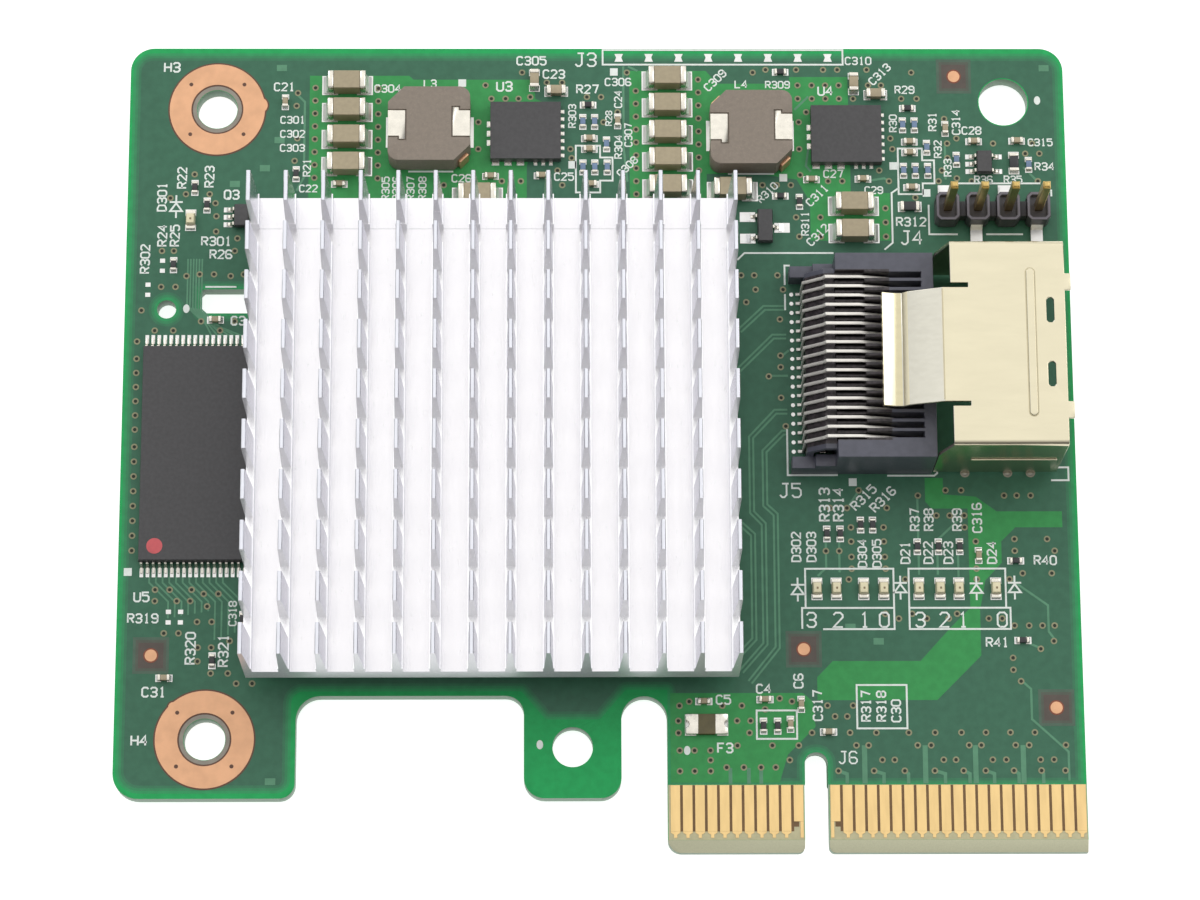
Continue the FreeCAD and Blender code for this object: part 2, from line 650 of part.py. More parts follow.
def flash_chip():
    body_z = TOP + FLASH_STANDOFF
    keep("flash_chip_body", [moulded_body(
        FLASH_X, FLASH_Y, body_z, FLASH_WIDTH, FLASH_DEPTH, FLASH_HEIGHT, PACKAGE_DRAFT)])
    lead_z = body_z + FLASH_HEIGHT / 2 - LEAD_THICKNESS
    leads = []
    for index in range(FLASH_LEADS):
        x = FLASH_X + (index - (FLASH_LEADS - 1) / 2) * FLASH_LEAD_PITCH
        for side, heading in ((1, 90), (-1, -90)):
            y = FLASH_Y + side * FLASH_DEPTH / 2
            leads.append(gull_wing(lead_z, FLASH_LEAD_REACH, FLASH_LEAD_WIDTH, x, y, heading))
    keep("flash_chip_leads", leads)


def land(x, y, width, outward):
    """Flat terminal that runs from under a body's edge at (x, y) to just outside it."""
    reach = LAND_INSIDE + LAND_OUTSIDE
    shift = (LAND_OUTSIDE - LAND_INSIDE) / 2
    dx, dy = outward
    length = reach if dx else width
    depth = reach if dy else width
    return centred_box(x + dx * shift, y + dy * shift, length, depth, TOP, LAND_THICKNESS)


def spread(count, pitch, centre=0.0):
    return [centre + (index - (count - 1) / 2) * pitch for index in range(count)]


def regulator(number, stage_x, stage_y):
    x = stage_x + REGULATOR_OFFSET
    half_width = REGULATOR_WIDTH / 2
    half_depth = REGULATOR_DEPTH / 2
    keep("regulator_%d_body" % number, [centred_box(
        x, stage_y, REGULATOR_WIDTH, REGULATOR_DEPTH, TOP + LAND_THICKNESS, REGULATOR_HEIGHT)])
    lands = [land(x - half_width, stage_y + v, SIDE_LAND_WIDTH, (-1, 0)) for v in spread(3, SIDE_LAND_PITCH)]
    lands += [land(x + half_width, stage_y + v, THIN_LAND_WIDTH, (1, 0)) for v in spread(7, THIN_LAND_PITCH)]
    wide = spread(3, WIDE_LAND_PITCH, -half_width / 2)
    thin = spread(3, THIN_LAND_PITCH, half_width / 2)
    lands += [land(x + u, stage_y - half_depth, WIDE_LAND_WIDTH, (0, -1)) for u in wide]
    lands += [land(x + u, stage_y - half_depth, THIN_LAND_WIDTH, (0, -1)) for u in thin]
    lands += [land(x + u, stage_y + half_depth, THIN_LAND_WIDTH, (0, 1)) for u in thin]
    lands.append(centred_box(x, stage_y, THERMAL_LAND_WIDTH, THERMAL_LAND_DEPTH, TOP, LAND_THICKNESS))
    keep("regulator_%d_terminals" % number, lands)


def inductor_clip(side):
    """Tin clip of the side at +X or -X: over the top, down the side and under the core."""
    half = INDUCTOR_WIDTH / 2
    high = TOP + INDUCTOR_HEIGHT
    tip = half - CLIP_LENGTH
    path = ((half - CLIP_FOOT, TOP), (half, TOP), (half, high), (tip, high))
    strip = bent_strip(path, CLIP_THICKNESS, CLIP_WIDTH, 0.0, 0.0, 0.0)
    nib = box(tip, tip + CLIP_NIB_LENGTH, CLIP_WIDTH / 2, CLIP_WIDTH / 2 + CLIP_NIB_WIDTH,
              high - CLIP_THICKNESS, high)
    clip = strip.fuse(nib).removeSplitter()
    if side < 0:
        clip.rotate(vector(0, 0), vector(0, 0, 1), 180)
    return clip


def clip_pocket(side):
    """Room in the core for a clip's top and side."""
    half = INDUCTOR_WIDTH / 2
    high = TOP + INDUCTOR_HEIGHT
    across = CLIP_WIDTH / 2 + CLIP_CLEARANCE
    inner = half - CLIP_LENGTH - CLIP_CLEARANCE
    nib_end = inner + CLIP_NIB_LENGTH + 2 * CLIP_CLEARANCE
    pocket = box(inner, half, -across, across, high - CLIP_THICKNESS, high)
    nib = box(inner, nib_end, 0.0, across + CLIP_NIB_WIDTH, high - CLIP_THICKNESS, high)
    wall = box(half - CLIP_THICKNESS, half, -across, across, TOP, high)
    cut = pocket.fuse([nib, wall])
    if side < 0:
        cut.rotate(vector(0, 0), vector(0, 0, 1), 180)
    return cut


def inductor_core():
    u = INDUCTOR_WIDTH / 2
    v = INDUCTOR_DEPTH / 2
    cut = INDUCTOR_CHAMFER
    corners = [(-u, -v, INDUCTOR_RADIUS), (u - cut, -v, 0.0), (u, -v + cut, 0.0),
               (u, v, INDUCTOR_RADIUS), (-u + cut, v, 0.0), (-u, v - cut, 0.0)]
    core = plate(corners, TOP + CLIP_THICKNESS, INDUCTOR_HEIGHT - CLIP_THICKNESS)
    return core.cut([clip_pocket(1), clip_pocket(-1)])


def winding_end(side):
    """Flat wire end standing against the chamfered corner."""
    face_x = (INDUCTOR_WIDTH - INDUCTOR_CHAMFER) / 2
    face_y = (INDUCTOR_DEPTH - INDUCTOR_CHAMFER) / 2
    wire = box(0.0, WIRE_THICKNESS, -WIRE_WIDTH / 2, WIRE_WIDTH / 2, TOP, TOP + WIRE_HEIGHT)
    wire.rotate(vector(0, 0), vector(0, 0, 1), -45)
    wire.translate(vector(face_x, -face_y))
    if side < 0:
        wire.rotate(vector(0, 0), vector(0, 0, 1), 180)
    return wire


def inductor(number, stage_x, stage_y):
    pieces = {"core": [inductor_core()],
              "clips": [inductor_clip(1), inductor_clip(-1)],
              "winding_ends": [winding_end(1), winding_end(-1)]}
    for label, solids in pieces.items():
        for solid in solids:
            solid.translate(vector(stage_x, stage_y))
        keep("inductor_%d_%s" % (number, label), solids)


def from_point(x, y, spots):
    return [(x + u, y + v, along) for u, v, along in spots]


def from_both_stages(spots):
    return from_point(*STAGES[0], spots) + from_point(*STAGES[1], spots)


def from_left_top(spots):
    return [(BOARD_LEFT + u, BOARD_TOP - v, along) for u, v, along in spots]


def from_right_top(spots):
    return [(BOARD_RIGHT - u, BOARD_TOP - v, along) for u, v, along in spots]


def from_left(spots):
    return [(BOARD_LEFT + u, v, along) for u, v, along in spots]


def from_port(spots):
    return [(BOARD_RIGHT - u, PORT_FRONT - v, along) for u, v, along in spots]


def bulk_columns():
    spots = []
    for (x, y), first, count in zip(STAGES, FIRST_BULK_RISE, BULK_COUNT):
        spots += [(x - BULK_OFFSET, y + first - index * BULK_PITCH, "x") for index in range(count)]
    return spots


def small_chips(name, size, spots):
    """Small chip parts of one kind, each one fired piece with its end metal."""
    length, width, height = size
    parts = []
    for x, y, along in spots:
        across = (length, width) if along == "x" else (width, length)
        parts.append(centred_box(x, y, *across, TOP, height))
    keep(name, parts)


def large_chips(name, size, spots):
    """Bodies and end caps of one kind of large chip part, as two nodes."""
    length, width, height, end = size
    step = END_CAP_STEP
    bodies = []
    ends = []
    for x, y, along in spots:
        middle = length - 2 * end
        pieces = [centred_box(0, 0, middle, width - 2 * step, TOP + step, height - 2 * step)]
        for side in (-1, 1):
            pieces.append(centred_box(side * (length - end) / 2, 0, end, width, TOP, height))
        for piece in pieces:
            if along == "y":
                piece.rotate(vector(0, 0), vector(0, 0, 1), 90)
            piece.translate(vector(x, y))
        bodies.append(pieces[0])
        ends += pieces[1:]
    keep(name + "_bodies", bodies)
    keep(name + "_ends", ends)


def capacitors():
    bulk = bulk_columns() + from_point(*STAGES[0], FIRST_STAGE_BULK)
    bulk += from_point(*STAGES[1], SECOND_STAGE_BULK)
    large_chips("bulk_capacitor", BULK_CAPACITOR, bulk)
    large_chips("medium_capacitor", MEDIUM_CAPACITOR, from_both_stages(STAGE_MEDIUM_CAPACITORS))
    small = from_both_stages(STAGE_SMALL_CAPACITORS)
    small += from_point(*STAGES[0], FIRST_STAGE_SMALL_CAPACITORS)
    small += from_right_top(RIGHT_SMALL_CAPACITORS) + from_left_top(LEFT_SMALL_CAPACITORS)
    small += from_left(LOWER_LEFT_SMALL_CAPACITORS) + from_port(PORT_SMALL_CAPACITORS)
    small_chips("small_capacitors", SMALL_CAPACITOR, small + list(KEY_SMALL_CAPACITORS))


def resistors():
    large = from_point(*STAGES[1], SECOND_STAGE_LARGE_RESISTORS) + from_right_top(RIGHT_LARGE_RESISTORS)
    small_chips("large_resistors", LARGE_RESISTOR, large)
    black = from_both_stages(STAGE_BLACK_RESISTORS) + from_point(*STAGES[0], FIRST_STAGE_BLACK_RESISTORS)
    black += from_point(*STAGES[1], SECOND_STAGE_BLACK_RESISTORS) + from_left_top(LEFT_BLACK_RESISTORS)
    black += from_left(LOWER_LEFT_BLACK_RESISTORS) + from_port(PORT_BLACK_RESISTORS)
    small_chips("chip_resistors", SMALL_RESISTOR, black + list(KEY_BLACK_RESISTORS))
    blue = from_both_stages(STAGE_BLUE_RESISTORS) + from_right_top(RIGHT_BLUE_RESISTORS)
    small_chips("precision_resistors", SMALL_RESISTOR, blue)


def indicator_lights():
    places = [(BOARD_RIGHT - inset, PORT_FRONT - LED_DROP) for inset in LED_INSETS]
    places.append((BOARD_LEFT + LEFT_LED[0], BOARD_TOP - LEFT_LED[1]))
    middle = LED_LENGTH - 2 * LED_TERMINAL_LENGTH
    drawn = (LED_WIDTH - 2 * LED_LENS_DRAFT, middle - 2 * LED_LENS_DRAFT)
    bases = []
    lenses = []
    terminals = []
    for x, y in places:
        bases.append(centred_box(x, y, LED_WIDTH, middle, TOP, LED_BASE_HEIGHT))
        lenses.append(frustum(x, y, TOP + LED_BASE_HEIGHT, LED_LENS_HEIGHT, (LED_WIDTH, middle), drawn))
        for side in (-1, 1):
            end_y = y + side * (LED_LENGTH - LED_TERMINAL_LENGTH) / 2
            terminals.append(centred_box(x, end_y, LED_WIDTH, LED_TERMINAL_LENGTH, TOP, LED_BASE_HEIGHT))
    keep("indicator_light_bases", bases)
    keep("indicator_light_lenses", lenses)
    keep("indicator_light_terminals", terminals)


def fuse():
    keep("fuse_body", [centred_box(
        FUSE_X, FUSE_Y, FUSE_LENGTH - 2 * FUSE_END, FUSE_WIDTH, TOP, FUSE_HEIGHT)])
    terminals = []
    for side in (-1, 1):
        end = centred_box(FUSE_X + side * (FUSE_LENGTH - FUSE_END) / 2, FUSE_Y, FUSE_END, FUSE_WIDTH,
                          TOP, FUSE_HEIGHT)
        notch = prism(FUSE_X + side * FUSE_LENGTH / 2, FUSE_Y, FUSE_NOTCH_WIDTH, SMALL_HOLE_SIDES,
                      TOP, FUSE_HEIGHT)
        terminals.append(end.cut(notch))
    keep("fuse_terminals", terminals)


def small_package(name, x, y, size, lead_rows):
    """Small moulded package with leads on its left and right sides."""
    length, width, height = size
    body_z = TOP + SMALL_STANDOFF
    body_height = height - SMALL_STANDOFF
    body = moulded_body(x, y, body_z, length, width, body_height, PACKAGE_DRAFT)
    lead_z = body_z + body_height / 2 - LEAD_THICKNESS
    leads = []
    for side, heading, row in ((-1, 180, lead_rows[0]), (1, 0, lead_rows[1])):
        for v in row:
            leads.append(gull_wing(
                lead_z, SMALL_LEAD_REACH, SMALL_LEAD_WIDTH, x + side * length / 2, y + v, heading))
    keep(name + "_body", [body])
    keep(name + "_leads", leads)


def semiconductors():
    small_package("load_switch", BOARD_LEFT + SWITCH_INSET, BOARD_TOP - SWITCH_DROP,
                  SWITCH_BODY, SWITCH_LEADS)
    stage_x, stage_y = STAGES[1]
    small_package("transistor", stage_x + TRANSISTOR_OFFSET[0], stage_y + TRANSISTOR_OFFSET[1],
                  TRANSISTOR_BODY, TRANSISTOR_LEADS)
    small_package("logic_gate", BOARD_RIGHT - GATE_INSET, BOARD_TOP - GATE_DROP, GATE_BODY, GATE_LEADS)


def header_pin(x, toward):
    """Square pin: foot along the board towards +Y or -Y, then straight up to a blunt point."""
    half = PIN_WIDTH / 2
    reach = PIN_REAR_REACH if toward > 0 else PIN_FRONT_REACH
    foot = box(x - half, x + half, HEADER_Y - half, HEADER_Y + reach, TOP, TOP + PIN_FOOT_THICKNESS)
    if toward < 0:
        foot.rotate(vector(x, HEADER_Y), vector(0, 0, 1), 180)
    shaft_top = TOP + PIN_TOP - PIN_POINT
    shaft = centred_box(x, HEADER_Y, PIN_WIDTH, PIN_WIDTH, TOP, shaft_top - TOP)
    point = frustum(x, HEADER_Y, shaft_top, PIN_POINT, (PIN_WIDTH, PIN_WIDTH), (half, half))
    return foot.fuse([shaft, point]).removeSplitter()


def header():
    xs = spread(HEADER_PINS, HEADER_PITCH, HEADER_X)
    low = TOP + PIN_FOOT_THICKNESS
    high = TOP + HEADER_HEIGHT
    blocks = []
    cuts = []
    for x in xs:
        blocks.append(cut_corner_plate(x, HEADER_Y, HEADER_BLOCK_WIDTH, HEADER_BLOCK_DEPTH,
                                       HEADER_BLOCK_CHAMFER, low, high - low))
        cuts.append(centred_box(x, HEADER_Y, HEADER_BLOCK_WIDTH - 2 * HEADER_RECESS_WALL,
                                HEADER_BLOCK_DEPTH - 2 * HEADER_RECESS_WALL,
                                high - HEADER_RECESS_DEPTH, HEADER_RECESS_DEPTH))
        cuts.append(centred_box(x, HEADER_Y, PIN_WIDTH, PIN_WIDTH, low, high - low))
    waist = box(xs[0], xs[-1], HEADER_Y - HEADER_WAIST_DEPTH / 2, HEADER_Y + HEADER_WAIST_DEPTH / 2,
                low, TOP + HEADER_WAIST_HEIGHT)
    keep("header_insulator", [waist.fuse(blocks).removeSplitter().cut(cuts)])
    keep("header_pins", [header_pin(x, 1 if index % 2 == 0 else -1) for index, x in enumerate(xs)])


def port_ys():
    return spread(PORT_CONTACTS, PORT_PITCH, PORT_Y)


def crest_z():
    """Height of the upper contacts' lower face at their crest."""
    return TOP + HOUSING_HEIGHT - CREST_DEPTH - PORT_CONTACT_THICKNESS


def upper_contact_path():
    """Lower face of an upper contact: foot, riser, slope, crest and the dip down to the card slot."""
    crest = crest_z()
    tip_x = HOUSING_LENGTH - CHANNEL_END_WALL - CHANNEL_CLEARANCE
    tip_z = TOP + CARD_SLOT_BOTTOM + CARD_SLOT_HEIGHT - PORT_CONTACT_THICKNESS
    return ((-UPPER_FOOT_OUT, TOP), (-UPPER_RISER_OUT, TOP), (-UPPER_RISER_OUT, crest - RISER_DROP),
            (-UPPER_KNEE_OUT, crest - KNEE_DROP), (-UPPER_CREST_OUT, crest), (CREST_LENGTH, crest),
            (CREST_LENGTH + DIP_LENGTH, crest - DIP_DROP), (tip_x, tip_z))


def lower_contact_path():
    """Lower face of a lower contact from its foot up and along the floor of the card slot."""
    slot_floor = TOP + CARD_SLOT_BOTTOM
    return ((-LOWER_FOOT_OUT, TOP), (-LOWER_FOOT_IN, TOP), (-LOWER_BEND_OUT, slot_floor),
            (HOUSING_LENGTH - LOWER_TIP_SETBACK, slot_floor))


def port_contacts():
    for name, path in (("upper", upper_contact_path()), ("lower", lower_contact_path())):
        keep("port_contacts_" + name, [bent_strip(
            path, PORT_CONTACT_THICKNESS, PORT_CONTACT_WIDTH, HOUSING_LEFT, y, 0.0) for y in port_ys()])


def tail_cover():
    """Sloped cover between the upper contacts' risers and the housing, open below over the lower feet."""
    rear = -UPPER_RISER_OUT + TAIL_COVER_GAP
    low = crest_z() - RISER_DROP - TAIL_COVER_GAP
    high = crest_z() - KNEE_DROP - 2 * TAIL_COVER_GAP
    slope = (high - low) / (-UPPER_KNEE_OUT - rear)
    inside = rear + TAIL_COVER_WALL
    under = high - TAIL_COVER_WALL
    outline = ((rear, TOP), (rear, low), (-UPPER_KNEE_OUT, high), (0.0, high), (0.0, under),
               (-UPPER_KNEE_OUT, under), (inside, low + (slope - 1) * TAIL_COVER_WALL), (inside, TOP))
    return side_profile(outline, HOUSING_WIDTH - 2 * POST_WIDTH, HOUSING_LEFT, PORT_Y, 0.0)


def port_housing():
    half = HOUSING_WIDTH / 2
    high = TOP + HOUSING_HEIGHT
    slot_floor = TOP + CARD_SLOT_BOTTOM
    slot_roof = slot_floor + CARD_SLOT_HEIGHT
    slot_rear = HOUSING_RIGHT - CARD_SLOT_DEPTH
    slot_half = (PORT_CONTACTS - 1) * PORT_PITCH / 2 + PORT_CONTACT_WIDTH / 2 + CARD_SLOT_MARGIN
    body = box(HOUSING_LEFT, HOUSING_RIGHT, PORT_Y - half, PORT_Y + half, TOP, high)
    posts = []
    for edge in (PORT_Y - half, PORT_Y + half - POST_WIDTH):
        step_x = HOUSING_LEFT - FRONT_POST_LENGTH
        posts.append(box(step_x, HOUSING_LEFT, edge, edge + POST_WIDTH, TOP, TOP + FRONT_POST_HEIGHT))
        posts.append(box(step_x - REAR_POST_LENGTH, step_x, edge, edge + POST_WIDTH,
                         TOP, TOP + REAR_POST_HEIGHT))
    cuts = [box(slot_rear, HOUSING_RIGHT, PORT_Y - slot_half, PORT_Y + slot_half, slot_floor, slot_roof)]
    channel = PORT_CONTACT_WIDTH / 2 + CHANNEL_CLEARANCE
    hole = PORT_CONTACT_WIDTH / 2
    rib_half = PORT_CONTACTS * PORT_PITCH / 2
    cuts.append(box(HOUSING_LEFT, HOUSING_LEFT + CREST_LENGTH + RIB_CUT_MARGIN,
                    PORT_Y - rib_half, PORT_Y + rib_half, high - RIB_DROP, high))
    for y in port_ys():
        cuts.append(box(HOUSING_LEFT, HOUSING_RIGHT - CHANNEL_END_WALL, y - channel, y + channel,
                        slot_roof - PORT_CONTACT_THICKNESS, high))
        cuts.append(box(HOUSING_LEFT, slot_rear, y - hole, y + hole,
                        slot_floor, slot_floor + PORT_CONTACT_THICKNESS))
    keep("port_housing", [body.fuse(posts + [tail_cover()]).removeSplitter().cut(cuts)])


def shell_section():
    """Folded section of the shell across the port: a roof and two walls."""
    half = SHELL_WIDTH / 2
    low = TOP + SHELL_LIFT
    high = TOP + SHELL_HEIGHT
    wall = SHELL_THICKNESS
    bend = SHELL_BEND_RADIUS
    corners = [(-half, low, 0.0), (-half, high, bend), (half, high, bend), (half, low, 0.0),
               (half - wall, low, 0.0), (half - wall, high - wall, SHELL_INNER_BEND),
               (-half + wall, high - wall, SHELL_INNER_BEND), (-half + wall, low, 0.0)]
    return rounded_wire(corners)


def shell_walls():
    """Roof and walls, with the walls' slanted rear edges reaching the housing."""
    section = Part.Face(shell_section()).extrude(vector(0, 0, SHELL_LENGTH))
    across_the_port = FreeCAD.Rotation(vector(0, 1, 0), vector(0, 0, 1), vector(1, 0, 0), "XYZ")
    section.Placement = FreeCAD.Placement(vector(SHELL_REAR, PORT_Y), across_the_port)
    rear = HOUSING_RIGHT + SHELL_REAR_GAP
    low = TOP + SHELL_LIFT
    pieces = []
    for edge in (PORT_Y - SHELL_WIDTH / 2, PORT_Y + SHELL_WIDTH / 2 - SHELL_THICKNESS):
        outline = [vector(x, edge, z) for x, z in (
            (SHELL_REAR, low), (SHELL_REAR, TOP + SHELL_HEIGHT - SHELL_BEND_RADIUS),
            (rear, TOP + SHELL_SLANT_HEIGHT), (rear, low))]
        face = Part.Face(Part.makePolygon(outline + outline[:1]))
        pieces.append(face.extrude(vector(0, SHELL_THICKNESS, 0)))
    return section.fuse(pieces)


def shell_tongue():
    """Latch tongue: level at the roof, then down a ramp to a heel and a raised lip."""
    high = TOP + SHELL_HEIGHT
    steps = ((TONGUE_FLAT, 0.0), (TONGUE_RAMP_LENGTH, -TONGUE_RAMP_DROP),
             (TONGUE_STEP_LENGTH, -TONGUE_STEP_DROP), (TONGUE_HEEL_LENGTH, 0.0),
             (TONGUE_LIP_LENGTH, TONGUE_LIP_RISE))
    x = SHELL_REAR
    z = high
    path = [(x + TONGUE_SLOT_LENGTH, high)]
    for run, rise in steps:
        x -= run
        z += rise
        path.append((x, z))
    return bent_strip(path, SHELL_THICKNESS, TONGUE_WIDTH, 0.0, TONGUE_Y, 0.0)


def shell_trim():
    """Bead, side ribs, mouth lips and legs."""
    high = TOP + SHELL_HEIGHT
    half = SHELL_WIDTH / 2
    trim = [cut_corner_plate(MOUTH_X - BEAD_SETBACK, PORT_Y, BEAD_WIDTH, BEAD_LENGTH,
                             BEAD_WIDTH * END_CUT_SHARE, high, BEAD_HEIGHT)]
    rib_z = TOP + SIDE_RIB_HEIGHT
    rib_rear = SHELL_REAR + SIDE_RIB_SETBACK
    for side in (-1, 1):
        rib_y = PORT_Y + side * (half + SIDE_RIB_PROUD / 2)
        trim.append(centred_box((rib_rear + MOUTH_X - SIDE_RIB_END) / 2, rib_y,
                                MOUTH_X - SIDE_RIB_END - rib_rear, SIDE_RIB_PROUD, rib_z, SIDE_RIB_WIDTH))
        lip_y = PORT_Y - MOUTH_LIP_SHIFT + side * MOUTH_LIP_SPREAD / 2
        trim.append(box(MOUTH_X, MOUTH_X + MOUTH_LIP_LENGTH, lip_y - MOUTH_LIP_WIDTH / 2,
                        lip_y + MOUTH_LIP_WIDTH / 2, high - SHELL_THICKNESS, high))
    for x, y in leg_places():
        trim.append(centred_box(x, y, LEG_WIDTH, SHELL_THICKNESS, -LEG_PROUD, LEG_PROUD + TOP + SHELL_LIFT))
    return trim


def shell_cuts():
    """Slits beside the tongue and the two latch slots in the roof."""
    inside = TOP + SHELL_HEIGHT - SHELL_THICKNESS
    cuts = []
    for side in (-1, 1):
        slit_y = TONGUE_Y + side * (TONGUE_WIDTH + TONGUE_SLOT_WIDTH) / 2
        cuts.append(box(SHELL_REAR, SHELL_REAR + TONGUE_SLOT_LENGTH, slit_y - TONGUE_SLOT_WIDTH / 2,
                        slit_y + TONGUE_SLOT_WIDTH / 2, inside, inside + SHELL_THICKNESS))
        cuts.append(cut_corner_plate(MOUTH_X - LATCH_SLOT_SETBACK, PORT_Y + side * LATCH_SLOT_SPREAD / 2,
                                     LATCH_SLOT_WIDTH, LATCH_SLOT_LENGTH, LATCH_SLOT_WIDTH * END_CUT_SHARE,
                                     inside, SHELL_THICKNESS))
    return cuts


def port_shell():
    shell = shell_walls().cut(shell_cuts()).fuse([shell_tongue()] + shell_trim())
    keep("port_shell", [shell.removeSplitter()])


def export():
    os.makedirs("parts", exist_ok=True)
    for name, solids in nodes.items():
        parts = [solid for shape in solids for solid in shape.Solids]
        shape = parts[0] if len(parts) == 1 else Part.makeCompound(parts)
        shape.exportStep("parts/%s.step" % name)


circuit_board()
edge_contacts()
mounting_rings()
controller()
heatsink()
flash_chip()
for stage_number, stage in enumerate(STAGES, start=1):
    inductor(stage_number, *stage)
    regulator(stage_number, *stage)
capacitors()
resistors()
indicator_lights()
fuse()
semiconductors()
header()
port_housing()
port_contacts()
port_shell()
export()
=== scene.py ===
import math

import bpy
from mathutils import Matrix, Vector
from mathutils.geometry import tessellate_polygon


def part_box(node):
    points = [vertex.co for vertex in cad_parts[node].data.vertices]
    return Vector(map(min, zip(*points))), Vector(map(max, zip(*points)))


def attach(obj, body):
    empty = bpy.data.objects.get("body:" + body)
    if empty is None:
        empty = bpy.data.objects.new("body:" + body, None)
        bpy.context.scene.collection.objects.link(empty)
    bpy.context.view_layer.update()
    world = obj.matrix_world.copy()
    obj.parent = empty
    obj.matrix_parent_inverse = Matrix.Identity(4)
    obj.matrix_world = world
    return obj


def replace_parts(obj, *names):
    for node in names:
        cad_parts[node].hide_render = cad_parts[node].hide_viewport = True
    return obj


# Looks of the storage controller card. Lengths are millimetres in the part's own frame until a mesh is made.

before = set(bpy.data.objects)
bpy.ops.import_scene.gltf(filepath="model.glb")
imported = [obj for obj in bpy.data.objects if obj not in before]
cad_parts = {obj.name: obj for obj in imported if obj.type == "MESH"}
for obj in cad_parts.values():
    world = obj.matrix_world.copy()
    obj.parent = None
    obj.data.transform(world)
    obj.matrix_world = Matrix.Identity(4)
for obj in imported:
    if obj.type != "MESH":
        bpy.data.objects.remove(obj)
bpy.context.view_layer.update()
MM = 0.001
BODY = "root"


def node_box(name):
    low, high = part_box(name)
    return low / MM, high / MM


BOARD_LOW, BOARD_HIGH = node_box("circuit_board")
UNDERSIDE = 0.0
TOP = BOARD_HIGH.z
FLOOR_GAP = 0.02
FLOOR_Z = min(node_box(name)[0].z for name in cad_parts) - FLOOR_GAP

# Heights of the flat artwork above the board's face
PLANE_STEPS = (0.003, 0.006, 0.009, 0.012)
POUR_HEIGHT = 0.016
KEEP_OUT_HEIGHT = 0.018
PAIR_HEIGHT = 0.0195
TRACE_HEIGHT = 0.021
VIA_HOLE_HEIGHT = 0.022
VIA_RING_HEIGHT = 0.027
PAD_HEIGHT = 0.032
INK_HEIGHT = 0.030

# Camera, fitted to the card's corners, contacts and heatsink edges in a 1200 x 900 picture
CAMERA_PLACE = (-21.609, -49.514, 325.638)
CAMERA_ANGLES = (14.3905, -0.6691, -0.2204)
FOCAL_PIXELS = 4032.3
PICTURE_WIDTH = 1200
SENSOR_WIDTH = 36.0
CLIP_RANGE = (0.01, 10.0)


def srgb(red, green, blue):
    """Linear colour of an 8-bit screen colour."""
    def linear(value):
        share = value / 255
        return share / 12.92 if share <= 0.04045 else ((share + 0.055) / 1.055) ** 2.4
    return linear(red), linear(green), linear(blue)


def shaded(colour, factor=1.0):
    return tuple(min(1.0, channel * factor) for channel in colour) + (1.0,)


def around(colour, spread):
    """Darker and lighter form of a screen colour."""
    return shaded(srgb(*colour), 1 - spread), shaded(srgb(*colour), 1 + spread)


def between(first, second):
    return shaded(srgb(*first)), shaded(srgb(*second))


def fill_ramp(ramp, low, high, start, end):
    for element, position, colour in zip(ramp.color_ramp.elements, (start, end), (low, high)):
        element.position = position
        element.color = colour


# Coarse mottling against the fine one, detail of both, and spread of the gloss
COARSE = 6
COARSE_DETAIL = 3.0
FINE_DETAIL = 4.0
GLOSS_SPREAD = 0.15
# Sockets of a colour mix: its two colours and its result
MIX_FIRST = 6
MIX_SECOND = 7
MIX_RESULT = 2


